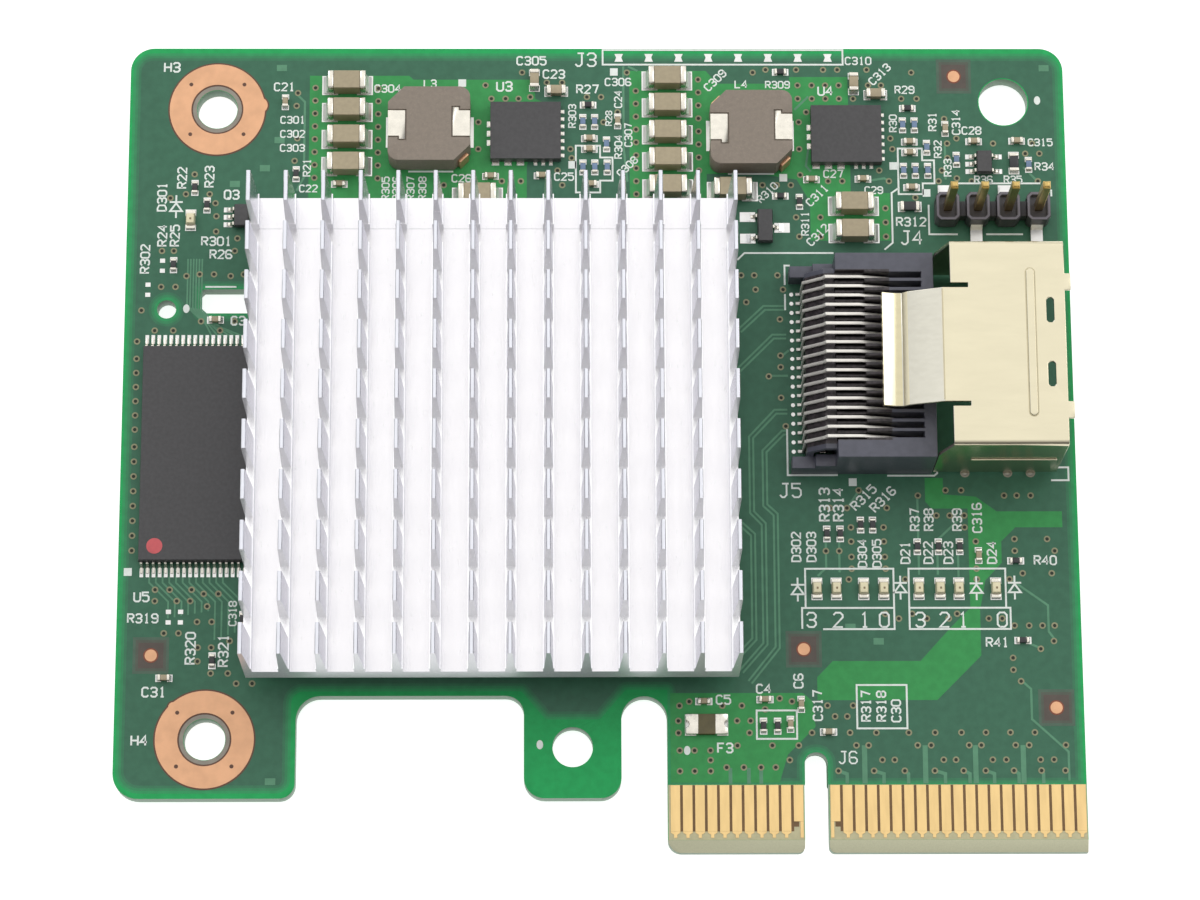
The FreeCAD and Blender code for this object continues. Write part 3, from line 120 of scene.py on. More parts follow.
class Grain:
    """Node material with mottled colour, uneven gloss and a fine bump."""

    def __init__(self, name, colour, roughness, metallic, vary, grain, bump, stretch=(1, 1, 1)):
        self.material = bpy.data.materials.new(name)
        self.material.use_nodes = True
        self.tree = self.material.node_tree
        self.shader = self.tree.nodes["Principled BSDF"]
        self.set("Metallic", metallic)
        self.place = self.node("ShaderNodeMapping", Scale=stretch)
        self.coordinates = self.node("ShaderNodeTexCoord")
        self.link(self.coordinates.outputs["Object"], self.place.inputs["Vector"])
        coarse = self.noise(grain * COARSE, COARSE_DETAIL)
        fine = self.noise(grain, FINE_DETAIL)
        self.wear(self.ramp(coarse, shaded(colour, 1 - vary), shaded(colour, 1 + vary)))
        gloss = self.node("ShaderNodeMapRange")
        gloss.inputs["To Min"].default_value = roughness * (1 - GLOSS_SPREAD)
        gloss.inputs["To Max"].default_value = min(1.0, roughness * (1 + GLOSS_SPREAD))
        self.link(fine, gloss.inputs["Value"])
        self.link(gloss.outputs["Result"], self.shader.inputs["Roughness"])
        uneven = self.node("ShaderNodeBump", Distance=bump * MM)
        self.link(fine, uneven.inputs["Height"])
        self.link(uneven.outputs["Normal"], self.shader.inputs["Normal"])

    def node(self, kind, **values):
        made = self.tree.nodes.new(kind)
        for socket, value in values.items():
            made.inputs[socket].default_value = value
        return made

    def link(self, source, target):
        self.tree.links.new(source, target)

    def set(self, socket, value):
        self.shader.inputs[socket].default_value = value
        return self

    def wear(self, colour):
        self.base = colour
        self.link(colour, self.shader.inputs["Base Color"])

    def noise(self, size, detail):
        texture = self.node("ShaderNodeTexNoise", Scale=1 / (size * MM), Detail=detail)
        self.link(self.place.outputs["Vector"], texture.inputs["Vector"])
        return texture.outputs["Fac"]

    def ramp(self, value, low, high, start=0.35, end=0.65):
        ramp = self.node("ShaderNodeValToRGB")
        fill_ramp(ramp, low, high, start, end)
        self.link(value, ramp.inputs["Fac"])
        return ramp.outputs["Color"]

    def tone(self, mask, values, low, high):
        """Other colours where the mask is one."""
        mix = self.node("ShaderNodeMix")
        mix.data_type = "RGBA"
        self.link(mask, mix.inputs["Factor"])
        self.link(self.base, mix.inputs[MIX_FIRST])
        self.link(self.ramp(values, low, high), mix.inputs[MIX_SECOND])
        self.wear(mix.outputs[MIX_RESULT])

    def math(self, operation, first, second=0.0):
        step = self.node("ShaderNodeMath")
        step.operation = operation
        for socket, value in zip(step.inputs, (first, second)):
            if isinstance(value, float):
                socket.default_value = value
            else:
                self.link(value, socket)
        return step.outputs["Value"]

    def above(self, value, level):
        return self.math("GREATER_THAN", value, level)

    def below(self, value, level):
        return self.math("LESS_THAN", value, level)

    def both(self, first, second):
        return self.math("MULTIPLY", first, second)

    def size(self, value):
        return self.math("ABSOLUTE", value)

    def split(self, vector):
        parts = self.node("ShaderNodeSeparateXYZ")
        self.link(vector, parts.inputs["Vector"])
        return parts.outputs

    def facing(self):
        return self.split(self.node("ShaderNodeNewGeometry").outputs["True Normal"])

    def spot(self):
        return self.split(self.coordinates.outputs["Object"])


# Upright part of a face's normal: flat faces above the first, cut edges below the second
FLAT_TILT = 0.97
CUT_TILT = 0.1
# Range of the noise that makes specks
SPECKS = (0.66, 0.74)
# How far beside the port's contacts, and how far from their feet, the plastic gets painted shade
ROW_MARGIN = 0.35
ROW_REACH = 7.4
# Part of the normal from which a face counts as facing along an axis
FACING = 0.9
# Tilt of the latch tongue's slope, what counts as level, and a height just above the tongue's low step
SLOPE_TILT = (-0.55, -0.2)
LEVEL = 0.98
STEP_TOP = 9.6
# Heatsink: rounding and trim of the pins, and the low ridges that the cross cuts leave between them
TIP_ROUND = 0.1
TIP_STEPS = 4
TIP_TRIM = 0.05
PIN_TRIM = 0.12
RIDGE_HEIGHT = 1.2
RIDGE_MARGIN = 0.03
FOOT_FLARE = 0.2
GROOVE_DEPTH = 0.05
END_GAP = 0.01
# A height between the heatsink's floor and the ridges, and how matt the sawn faces are
RIDGE_LEVEL = 7.0
SAWN_MATT = 0.6


def board_tones(look):
    """Pale laminate on the tongue's bevel and a greener one on the cut edges."""
    edge = look.noise(size=0.1, detail=3.0)
    tilt = look.size(look.facing()["Z"])
    look.tone(look.below(tilt, FLAT_TILT), edge, *around((190, 189, 160), spread=0.04))
    look.tone(look.below(tilt, CUT_TILT), edge, *around((112, 142, 118), spread=0.06))


def powder_specks(look):
    """Light and dark specks of pressed iron powder."""
    specks = look.noise(size=0.05, detail=1.0)
    mask = look.ramp(specks, (0, 0, 0, 1), (1, 1, 1, 1), *SPECKS)
    look.tone(mask, specks, *between((78, 68, 60), (165, 150, 132)))


def housing_tones(look):
    """Painted shade: the plastic darkened to near black down in the rows of contacts."""
    low, high = node_box("port_contacts_upper")
    spot = look.spot()
    across = look.size(look.math("SUBTRACT", spot["Y"], (low.y + high.y) / 2 * MM))
    inside = look.below(across, ((high.y - low.y) / 2 + ROW_MARGIN) * MM)
    near = look.below(spot["X"], (low.x + ROW_REACH) * MM)
    # Near black colours of the painted shade on the plastic between the contacts
    dark = between((26, 21, 22), (60, 52, 55))
    look.tone(look.both(inside, near), look.noise(size=0.3, detail=2.0), *dark)


def heatsink_tones(look):
    """Painted shade on the tips and flanks, a painted highlight on the ridges, matt sawn faces, and the most
    painted shade on the front faces.
    """
    streaks = look.noise(size=0.2, detail=3.0)
    low, high = node_box("heatsink")
    spot = look.spot()
    facing = look.facing()
    on_cut = look.above(look.size(facing["Y"]), FACING)
    on_ridge = look.both(look.above(facing["Z"], FACING), look.above(spot["Z"], RIDGE_LEVEL * MM))
    # Painted light: a painted highlight on the ridge tops, painted shade on the flanks, the tips and the
    # front faces
    zones = (
        (on_ridge, (254, 252, 254)),
        (look.above(look.size(facing["X"]), FACING), (213, 213, 222)),
        (look.above(spot["Z"], (high.z - TIP_ROUND) * MM), (214, 215, 222)),
        (on_cut, (240, 239, 243)),
        (look.below(spot["Y"], (low.y + END_GAP) * MM), (212, 213, 218)))
    for mask, colour in zones:
        look.tone(mask, streaks, *around(colour, spread=0.03))
    look.link(look.math("SUBTRACT", 1.0, look.both(on_cut, SAWN_MATT)), look.shader.inputs["Metallic"])


def shell_tones(look):
    """Painted shade on the sheet: greyer down the latch tongue's slope and yellower on the low step behind
    its lip.
    """
    streaks = look.noise(size=0.4, detail=2.0)
    facing = look.facing()
    steepest, gentlest = SLOPE_TILT
    on_slope = look.both(look.below(facing["X"], gentlest), look.above(facing["X"], steepest))
    on_step = look.both(look.above(facing["Z"], LEVEL), look.below(look.spot()["Z"], STEP_TOP * MM))
    # Colours of the painted shade on the tongue's slope and on its low step
    for mask, colour in ((on_slope, (201, 198, 185)), (on_step, (198, 189, 157))):
        look.tone(mask, streaks, *around(colour, spread=0.02))


# Finishes: screen colour, roughness, metallic, variation, grain, bump height and stretch
FINISHES = {
    "clear_mask": ((34, 162, 88), 0.38, 0.0, 0.06, 0.12, 0.003),
    "powder": ((132, 121, 109), 0.62, 0.0, 0.05, 0.06, 0.006),
    "aluminium": ((234, 232, 234), 0.26, 1.0, 0.01, 0.12, 0.003, (1, 0.12, 1)),
    "housing": ((80, 81, 92), 0.38, 0.0, 0.08, 0.1, 0.004),
    "shell": ((211, 203, 176), 0.24, 1.0, 0.02, 0.2, 0.003, (0.25, 1, 1)),
    "gold": ((222, 191, 134), 0.32, 1.0, 0.05, 0.08, 0.002, (1, 0.2, 1)),
    "copper": ((218, 167, 128), 0.42, 0.5, 0.06, 0.2, 0.002),
    "pad": ((150, 150, 152), 0.8, 0.0, 0.08, 0.3, 0.01),
    "compound": ((64, 63, 64), 0.48, 0.0, 0.10, 0.05, 0.004),
    "package": ((46, 84, 58), 0.45, 0.0, 0.1, 0.2, 0.003),
    "tin": ((219, 214, 202), 0.26, 0.95, 0.05, 0.12, 0.003),
    "contact_tin": ((232, 228, 220), 0.4, 0.4, 0.05, 0.12, 0.003),
    "solder": ((226, 225, 222), 0.3, 0.7, 0.06, 0.2, 0.004),
    "wire": ((208, 162, 126), 0.36, 0.6, 0.06, 0.1, 0.002),
    "ceramic": ((163, 150, 122), 0.4, 0.0, 0.05, 0.06, 0.003),
    "black_glaze": ((40, 40, 42), 0.3, 0.0, 0.15, 0.1, 0.002),
    "blue_glaze": ((106, 128, 158), 0.3, 0.0, 0.1, 0.1, 0.002),
    "lamp_base": ((188, 184, 166), 0.5, 0.0, 0.04, 0.1, 0.002),
    "lamp_resin": ((226, 216, 178), 0.22, 0.0, 0.06, 0.3, 0.002),
    "fuse": ((92, 84, 50), 0.45, 0.0, 0.1, 0.12, 0.003),
    "shell_line": ((192, 182, 150), 0.4, 0.6, 0.04, 0.2, 0.003),
    "ink": ((226, 232, 226), 0.6, 0.0, 0.04, 0.06, 0.003),
    "via_ring": ((136, 135, 104), 0.4, 0.2, 0.08, 0.1, 0.003),
    "via_hole": ((34, 42, 30), 0.7, 0.0, 0.1, 0.1, 0.002),
    "red_dot": ((196, 84, 88), 0.5, 0.0, 0.08, 0.1, 0.003),
    # A darker copy of the gold for the header's pins: painted shade for the dark surroundings that they
    # reflect
    "shaded_pin_gold": ((196, 168, 104), 0.3, 1.0, 0.06, 0.1, 0.002),
    # Pale rims of painted highlight on the header's blocks
    "header_rim_highlight": ((104, 100, 108), 0.5, 0.0, 0.08, 0.1, 0.004),
    # A darker copy of the solder, for the mounds round the shell's legs on the upper face
    "darker_solder": ((150, 147, 136), 0.38, 0.8, 0.1, 0.2, 0.006),
    "lamp_die": ((128, 108, 74), 0.4, 0.0, 0.1, 0.05, 0.001),
    "header": ((50, 47, 50), 0.45, 0.0, 0.08, 0.1, 0.004),
    "bare_rim": ((140, 134, 122), 0.6, 0.0, 0.08, 0.1, 0.004),
    "pale_edge": ((186, 180, 142), 0.55, 0.0, 0.05, 0.08, 0.003),
    "dot_border": ((124, 62, 38), 0.5, 0.0, 0.08, 0.1, 0.003),
    "ring_outline": ((92, 60, 42), 0.5, 0.0, 0.08, 0.1, 0.003),
    "dark_gap": ((112, 84, 50), 0.6, 0.0, 0.1, 0.1, 0.003),
    "window_0": ((68, 94, 76), 0.5, 0.0, 0.08, 0.15, 0.003),
    "window_1": ((74, 82, 69), 0.5, 0.0, 0.08, 0.15, 0.003),
    "window_2": ((80, 70, 62), 0.5, 0.0, 0.08, 0.15, 0.003),
}
# Solder mask over copper: the values that its finishes share, then their screen colours
MASK = (0.36, 0.0, 0.06, 0.12, 0.003)
MASKED_FINISHES = {
    "trace": (92, 142, 112),
    "pour": (58, 146, 80),
    "plane_0": (52, 148, 92),
    "plane_1": (58, 134, 90),
    "plane_2": (61, 119, 87),
    "plane_3": (62, 107, 84),
}
# Sheen of solder mask, less than a plastic's, and the clear coat of the lamps' resin
MASK_SHEEN = 0.2
RESIN_COAT = 0.4

FINISHES.update({name: (colour, *MASK) for name, colour in MASKED_FINISHES.items()})
FINISH = {name: Grain(name, srgb(*colour), *values) for name, (colour, *values) in FINISHES.items()}
for masked_name in ("clear_mask", *MASKED_FINISHES):
    FINISH[masked_name].set("Specular IOR Level", MASK_SHEEN)
FINISH["lamp_resin"].set("Coat Weight", RESIN_COAT)
board_tones(FINISH["clear_mask"])
powder_specks(FINISH["powder"])
housing_tones(FINISH["housing"])
heatsink_tones(FINISH["aluminium"])
shell_tones(FINISH["shell"])

# Finish of a carried-over node by the ending of its name, where the first that fits counts
ENDINGS = {
    "circuit_board": "clear_mask", "edge_contacts_upper": "gold", "edge_contacts_lower": "gold",
    "_rings": "copper", "heatsink": "aluminium", "_pad": "pad", "_cap": "compound", "_substrate": "package",
    "_balls": "solder", "_bodies": "ceramic", "_bases": "lamp_base", "_lenses": "lamp_resin",
    "fuse_body": "fuse", "_body": "compound", "_insulator": "header", "_pins": "shaded_pin_gold",
    "_housing": "housing", "_contacts_upper": "contact_tin", "_contacts_lower": "tin", "_shell": "shell",
    "_core": "powder", "winding_ends": "wire", "_ends": "tin", "_leads": "tin", "_terminals": "tin",
    "_clips": "tin"}
# Edge rounding of the carried-over solids, where it isn't the usual one
USUAL_BEVEL = 0.03
BEVEL_NODES = {
    0.14: "bulk_capacitor_ends",
    0.12: "inductor_1_core inductor_2_core",
    0.08: "medium_capacitor_ends",
    0.05: "heatsink bulk_capacitor_bodies port_housing port_shell flash_chip_body",
    0.04: "indicator_light_terminals",
    0.02: "circuit_board",
    0.012: "edge_contacts_upper edge_contacts_lower",
    0.01: "mounting_rings",
}
BEVEL_SEGMENTS = 2
WELD_GAP = 0.0005
SHARP_ANGLE = 30
NORMAL_WEIGHT = 100


def round_edges(thing, width):
    weld = thing.modifiers.new("weld", "WELD")
    weld.merge_threshold = WELD_GAP * MM
    bevel = thing.modifiers.new("edges", "BEVEL")
    bevel.width = width * MM
    bevel.segments = BEVEL_SEGMENTS
    bevel.limit_method = "ANGLE"
    bevel.angle_limit = math.radians(SHARP_ANGLE)
    normals = thing.modifiers.new("normals", "WEIGHTED_NORMAL")
    normals.weight = NORMAL_WEIGHT
    normals.keep_sharp = False


def dress_nodes():
    bevels = {name: width for width, names in BEVEL_NODES.items() for name in names.split()}
    for name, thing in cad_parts.items():
        finishes = [finish for ending, finish in ENDINGS.items() if name.endswith(ending)]
        if finishes:
            thing.data.materials.clear()
            thing.data.materials.append(FINISH[finishes[0]].material)
            round_edges(thing, bevels.get(name, USUAL_BEVEL))


def solids_of(name):
    """Box of each separate solid in a node, as (centre, size)."""
    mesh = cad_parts[name].data
    corner = {}
    ids = []
    for vertex in mesh.vertices:
        key = tuple(round(value / MM, 3) for value in vertex.co)
        ids.append(corner.setdefault(key, len(corner)))
    owner = list(range(len(corner)))

    def root(index):
        while owner[index] != index:
            owner[index] = owner[owner[index]]
            index = owner[index]
        return index

    for polygon in mesh.polygons:
        first = root(ids[polygon.vertices[0]])
        for vertex in polygon.vertices[1:]:
            owner[root(ids[vertex])] = first
    groups = {}
    for key, index in corner.items():
        groups.setdefault(root(index), []).append(key)
    boxes = []
    for points in groups.values():
        low = Vector([min(values) for values in zip(*points)])
        high = Vector([max(values) for values in zip(*points)])
        boxes.append(((low + high) / 2, high - low))
    return boxes


def circle(x, y, radius, sides, stretch=1.0, way=1):
    turns = [2 * math.pi * step / sides * way for step in range(sides)]
    return [(x + radius * math.cos(turn), y + stretch * radius * math.sin(turn)) for turn in turns]


def oblong(x, y, length, width):
    u, v = length / 2, width / 2
    return [(x - u, y - v), (x + u, y - v), (x + u, y + v), (x - u, y + v)]


def raised(outline, z):
    return [(x, y, z) for x, y in outline]


SHARPEST_MITRE = 0.4


def mitres(path, closed=False):
    """Each point of a path, with the way to its left, which is longer at bends."""
    points = [Vector(point) for point in path]
    last = len(points) - 1
    for index, point in enumerate(points):
        runs = []
        if index or closed:
            runs.append((point - points[index - 1]).normalized())
        if index < last or closed:
            runs.append((points[(index + 1) % len(points)] - point).normalized())
        normals = [Vector((-run.y, run.x)) for run in runs]
        side = normals[0]
        if len(normals) == 2:
            side = (normals[0] + normals[1]) / max(SHARPEST_MITRE, 1 + normals[0].dot(normals[1]))
        yield point, side


def beside(path, offset):
    """Path moved sideways by offset."""
    return [tuple(point + side * offset) for point, side in mitres(path)]


def placed(name, data):
    thing = bpy.data.objects.new(name, data)
    bpy.context.scene.collection.objects.link(thing)
    return thing


# Sides of round pieces, small and large, and a solder mound's rings as shares of its radius and height
SIDES = 16
MANY_SIDES = 32
MOUND_SIDES = 12
MOUND = ((1.0, 0.0), (0.86, 0.5), (0.6, 0.85), (0.25, 1.0))


class Pieces:
    """Closed shapes gathered into one object."""

    def __init__(self, face=1):
        self.face = face
        self.points = []
        self.faces = []

    def level(self, height):
        return TOP + height if self.face > 0 else UNDERSIDE - height

    def levels(self, foot, height):
        return sorted((self.level(foot), self.level(height)))

    def loft(self, rings):
        """Closed solid through rings of equally many points, from low to high."""
        start = len(self.points)
        count = len(rings[0])
        for ring in rings:
            self.points += ring
        self.faces.append(tuple(range(start + count - 1, start - 1, -1)))
        for level in range(len(rings) - 1):
            base = start + level * count
            for index in range(count):
                a = base + index
                b = base + (index + 1) % count
                self.faces.append((a, b, b + count, a + count))
        last = start + (len(rings) - 1) * count
        self.faces.append(tuple(range(last, last + count)))

    def slab(self, outline, height, foot=0.0):
        """Flat shape on the board's face."""
        area = sum(a[0] * b[1] - b[0] * a[1] for a, b in zip(outline, outline[1:] + outline[:1]))
        ordered = outline if area > 0 else outline[::-1]
        self.loft([raised(ordered, z) for z in self.levels(foot, height)])

    def pierced(self, outline, holes, height):
        """Flat shape with holes through it; the outline runs anticlockwise and the holes clockwise."""
        loops = [outline] + holes
        low, high = self.levels(0.0, height)
        base = start = len(self.points)
        flat = [point for loop in loops for point in loop]
        total = len(flat)
        self.points += raised(flat, low) + raised(flat, high)
        for a, b, c in tessellate_polygon([[Vector((x, y, 0)) for x, y in loop] for loop in loops]):
            (ax, ay), (bx, by), (cx, cy) = flat[a], flat[b], flat[c]
            if (bx - ax) * (cy - ay) - (by - ay) * (cx - ax) < 0:
                b, c = c, b
            self.faces.append((start + c, start + b, start + a))
            self.faces.append((start + total + a, start + total + b, start + total + c))
        for loop in loops:
            count = len(loop)
            for index in range(count):
                a = base + index
                b = base + (index + 1) % count
                self.faces.append((a, b, b + total, a + total))
            base += count

    def block(self, centre, size):
        x, y, z = centre
        half = size[2] / 2
        self.loft([raised(oblong(x, y, size[0], size[1]), level) for level in (z - half, z + half)])

    def rectangle(self, x, y, length, width, height, foot=0.0):
        self.slab(oblong(x, y, length, width), height, foot)

    def disc(self, x, y, radius, height, foot=0.0, sides=SIDES, stretch=1.0):
        self.slab(circle(x, y, radius, sides, stretch), height, foot)

    def dome(self, x, y, radius, height, foot=0.0):
        """Low mound of solder."""
        self.loft([raised(circle(x, y, share * radius, MOUND_SIDES, way=self.face),
                          self.level(foot + (height - foot) * rise)) for share, rise in MOUND])

    def strip(self, path, width, height, foot=0.0, closed=False):
        """Flat ribbon along a path, mitred at its bends."""
        low, high = self.levels(foot, height)
        start = len(self.points)
        count = len(path)
        for point, side in mitres(path, closed):
            left = point + side * (width / 2)
            right = point - side * (width / 2)
            self.points += [(*right, low), (*left, low), (*left, high), (*right, high)]
        for index in range(count if closed else count - 1):
            a = start + 4 * index
            b = start + 4 * ((index + 1) % count)
            for edge in range(4):
                following = (edge + 1) % 4
                self.faces.append((a + edge, a + following, b + following, b + edge))
        if not closed:
            end = start + 4 * (count - 1)
            self.faces.append((start + 3, start + 2, start + 1, start))
            self.faces.append((end, end + 1, end + 2, end + 3))

    def ring(self, x, y, inner, outer, height, sides=SIDES):
        self.strip(circle(x, y, (inner + outer) / 2, sides), outer - inner, height, closed=True)

    def build(self, name, finish, slot, bevel=0.0):
        mesh = bpy.data.meshes.new(name)
        mesh.from_pydata([(x * MM, y * MM, z * MM) for x, y, z in self.points], [], self.faces)
        mesh.validate()
        mesh.materials.append(FINISH[finish].material)
        thing = placed(name, mesh)
        if bevel:
            round_edges(thing, bevel)
        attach(thing, BODY)
        return thing


def arc(x, y, radius, start, end, steps):
    angles = [math.radians(start + (end - start) * step / steps) for step in range(steps + 1)]
    return [(x + radius * math.cos(angle), y + radius * math.sin(angle)) for angle in angles]


CORNER_STEPS = 6


def rounded(corners, grow=0.0):
    """Outline through corners (x, y, radius), anticlockwise, moved outwards by grow."""
    lines = []
    for corner, following in zip(corners, corners[1:] + corners[:1]):
        start = Vector(corner[:2])
        run = (Vector(following[:2]) - start).normalized()
        lines.append((start + Vector((run.y, -run.x)) * grow, run))
    outline = []
    for index, (b, v) in enumerate(lines):
        a, u = lines[index - 1]
        turn = u.x * v.y - u.y * v.x
        way = 1 if turn > 0 else -1
        corner = a + u * (((b - a).x * v.y - (b - a).y * v.x) / turn)
        radius = max(0.0, corners[index][2] + way * grow)
        if radius == 0.0:
            outline.append(tuple(corner))
            continue
        half = math.acos(max(-1.0, min(1.0, u.dot(v)))) / 2
        begin = corner - u * (radius * math.tan(half))
        centre = begin + Vector((-u.y, u.x)) * radius * way
        first = math.degrees(math.atan2(begin.y - centre.y, begin.x - centre.x))
        outline += arc(centre.x, centre.y, radius, first, first + way * math.degrees(2 * half), CORNER_STEPS)
    return outline


# Copper plane inside the board, seen as the darker green; corners with their radii
PLANE = [
    (-56.75, 5.1, 1.7), (-43.0, 5.1, 0.9), (-43.0, 13.5, 1.2), (-23.9, 13.5, 0.5), (-21.9, 11.15, 0.4),
    (-17.7, 11.15, 0.4), (-15.6, 13.6, 0.5), (-11.85, 13.6, 0.3), (-11.85, 5.62, 0.0), (-1.15, 5.62, 0.0),
    (-1.15, 8.4, 1.1), (1.15, 8.4, 1.1), (1.15, 5.62, 0.0), (21.55, 5.62, 0.0), (21.55, 68.25, 1.4),
    (-56.75, 68.25, 1.4)]
PLANE_SOFTNESS = 0.22
# Openings in the plane round the board's holes: x, y, radius and share of the softness; then round its slot
PLANE_HOLES = [
    (-49.8, 63.43, 2.0, 1.0), (-49.8, 9.32, 2.0, 1.0), (16.85, 64.1, 2.16, 0.0), (-53.7, 45.8, 1.05, 1.0)]
PLANE_SLOT = [(-51.15, 45.2, 0.5), (-42.75, 45.2, 0.5), (-42.75, 47.8, 0.5), (-51.15, 47.8, 0.5)]
OPENING_SIDES = 48
# Lighter copper pours under the mask
POURS = [
    [(-42.0, 55.4), (-23.6, 55.4), (-23.6, 58.4), (-22.0, 64.0), (-22.9, 64.4), (-22.9, 66.1),
     (-33.2, 66.1), (-33.6, 66.45), (-42.0, 66.45)],
    [(-14.9, 55.4), (-8.4, 55.4), (-8.4, 57.7), (-4.0, 57.7), (-0.8, 57.2), (0.3, 55.2), (0.3, 51.8),
     (7.05, 51.8), (7.05, 56.0), (3.75, 56.0), (3.75, 58.2), (3.65, 66.35), (-1.3, 66.35), (-1.3, 65.75),
     (-7.4, 65.75), (-8.4, 66.9), (-14.9, 66.9)],
    [(0.2, 12.5), (10.0, 12.5), (13.7, 16.2), (13.7, 20.0), (14.2, 22.5), (15.6, 24.0), (15.6, 25.8),
     (16.8, 27.0), (20.7, 27.0), (20.7, 28.35), (15.3, 28.35), (13.6, 29.6), (10.9, 29.8), (10.9, 31.2),
     (9.4, 31.2), (9.4, 29.2), (9.9, 28.6), (12.9, 28.6), (12.9, 20.2), (11.3, 18.6), (8.7, 15.75),
     (1.5, 15.75), (0.2, 14.4)],
    [(-11.85, 5.7), (-3.0, 5.7), (-2.3, 8.0), (-1.3, 9.0), (0.0, 10.3), (-0.2, 12.4), (-1.0, 13.1),
     (-11.85, 13.1)]]
# Small test patches of copper under the mask
PATCHES = [
    (-44.4, 67.15), (-45.7, 58.2), (-48.2, 56.8), (-44.5, 60.7), (-44.4, 5.85), (20.4, 67.15), (3.0, 18.6),
    (5.3, 17.4)]
PATCH_SIZE = (0.85, 0.55)
# Fiducials: copper dots with a dark border, in windows that fade into the mask in steps
WINDOW = (2.95, 3.05)
WINDOW_STEPS = (1.0, 0.85, 0.7)
WINDOW_RISE = 0.0005
DOT_RADIUS = 0.5
DOT_BORDER = 0.12
DOT_SIDES = 28
FIDUCIALS = [(12.7, 66.4), (-54.32, 16.3), (-0.86, 16.75), (19.74, 11.85)]
# Track pairs by their middle line, then single tracks
PAIRS = [
    [(-6.4, 16.0), (-4.9, 17.6), (-4.9, 26.4), (-6.2, 27.6)],
    [(-6.0, 14.9), (-4.0, 17.2), (-4.0, 27.3), (-4.95, 28.3), (-4.95, 34.7), (-2.9, 36.9), (-1.9, 36.9)],
    [(-5.3, 14.0), (-3.0, 16.9), (-3.0, 28.1), (-3.85, 28.9), (-3.85, 33.5), (-2.3, 35.1), (-1.9, 35.1)],
    [(-6.0, 40.4), (-3.0, 43.4), (-1.9, 43.4)], [(-5.8, 43.9), (-3.7, 45.9), (-1.9, 45.9)]]
PAIR_GAP = 0.34
PAIR_WIDTH = 0.16
TRACKS = [
    [(17.0, 14.05), (17.7, 13.4), (17.7, 10.9), (20.6, 8.2), (20.6, 5.8)],
    [(16.4, 22.5), (19.3, 20.4), (19.3, 18.2), (19.8, 17.5)], [(17.2, 17.4), (18.6, 16.8)],
    [(5.3, 57.1), (6.6, 57.3), (7.0, 57.1)], [(0.3, 64.6), (-0.9, 63.4)],
    [(0.3, 60.4), (0.0, 58.4), (0.4, 57.9)], [(-43.0, 64.7), (-42.4, 64.1), (-42.4, 57.4), (-43.0, 56.2)],
    [(-15.4, 67.3), (-15.4, 60.0), (-15.1, 57.0)], [(-15.0, 67.3), (-14.2, 66.9)],
    [(1.1, 26.0), (1.1, 23.6), (0.4, 22.9)], [(2.2, 26.0), (2.2, 23.2)], [(8.75, 29.4), (8.75, 23.0)],
    [(10.3, 25.0), (10.3, 23.0)], [(12.0, 24.9), (12.0, 22.8)], [(10.4, 26.0), (12.4, 27.9)],
    [(2.9, 28.6), (4.1, 30.4)], [(-2.3, 41.7), (-1.7, 42.2)], [(-3.4, 40.0), (-1.8, 40.0)],
    [(18.4, 58.3), (19.6, 57.0)], [(11.8, 60.2), (11.8, 57.2)]]
TRACK_WIDTH = 0.18
# Tracks side by side: which ones, width, and for each bend x, its step to the next track, y and its step
FAN_BENDS = [(-54.6, 0.55, 22.9, 0.0), (-54.6, 0.55, 22.4, 0.0), (-53.0, 0.55, 20.8, 0.0)]
FANS = [
    (range(7), 0.14, FAN_BENDS + [(-53.0, 0.55, 19.4, 0.1)]),
    (range(7, 12), 0.14, FAN_BENDS + [(-53.0, 0.55, 16.2, 0.2)]),
    (range(6), 0.13, [(-52.0, 0.24, 50.2, 0.0), (-52.0, 0.24, 46.0, -0.04), (-50.4, 0.24, 44.5, -0.048),
                      (-49.9, 0.5, 43.5, 0.0)])]
LOWER_FANS = [
    (range(9), TRACK_WIDTH, [(-55.0, 0.0, 24.0, 2.4), (-38.0, 1.0, 24.0, 2.4), (-34.0, 1.0, 28.0, 2.4),
                             (-6.0, -1.0, 28.0, 2.4)])]
# Short tracks at the edge contacts: places, width, top and whether they bend to a contact
EDGE_VIAS = (1.8, 4.7, 7.2, 9.65, 12.0, 13.8, 16.1, 18.35)
EDGE_TRACKS = [(EDGE_VIAS, 0.28, 6.65, True), ((3.95, 8.9, 13.0, 16.9), 0.42, 8.75, False),
               ((-5.5, -4.5, -7.0), 0.3, 6.9, False)]
EDGE_BEND = 6.4
EDGE_END = 5.6
# Contacts lie midway between whole millimetres
MIDWAY = 0.5
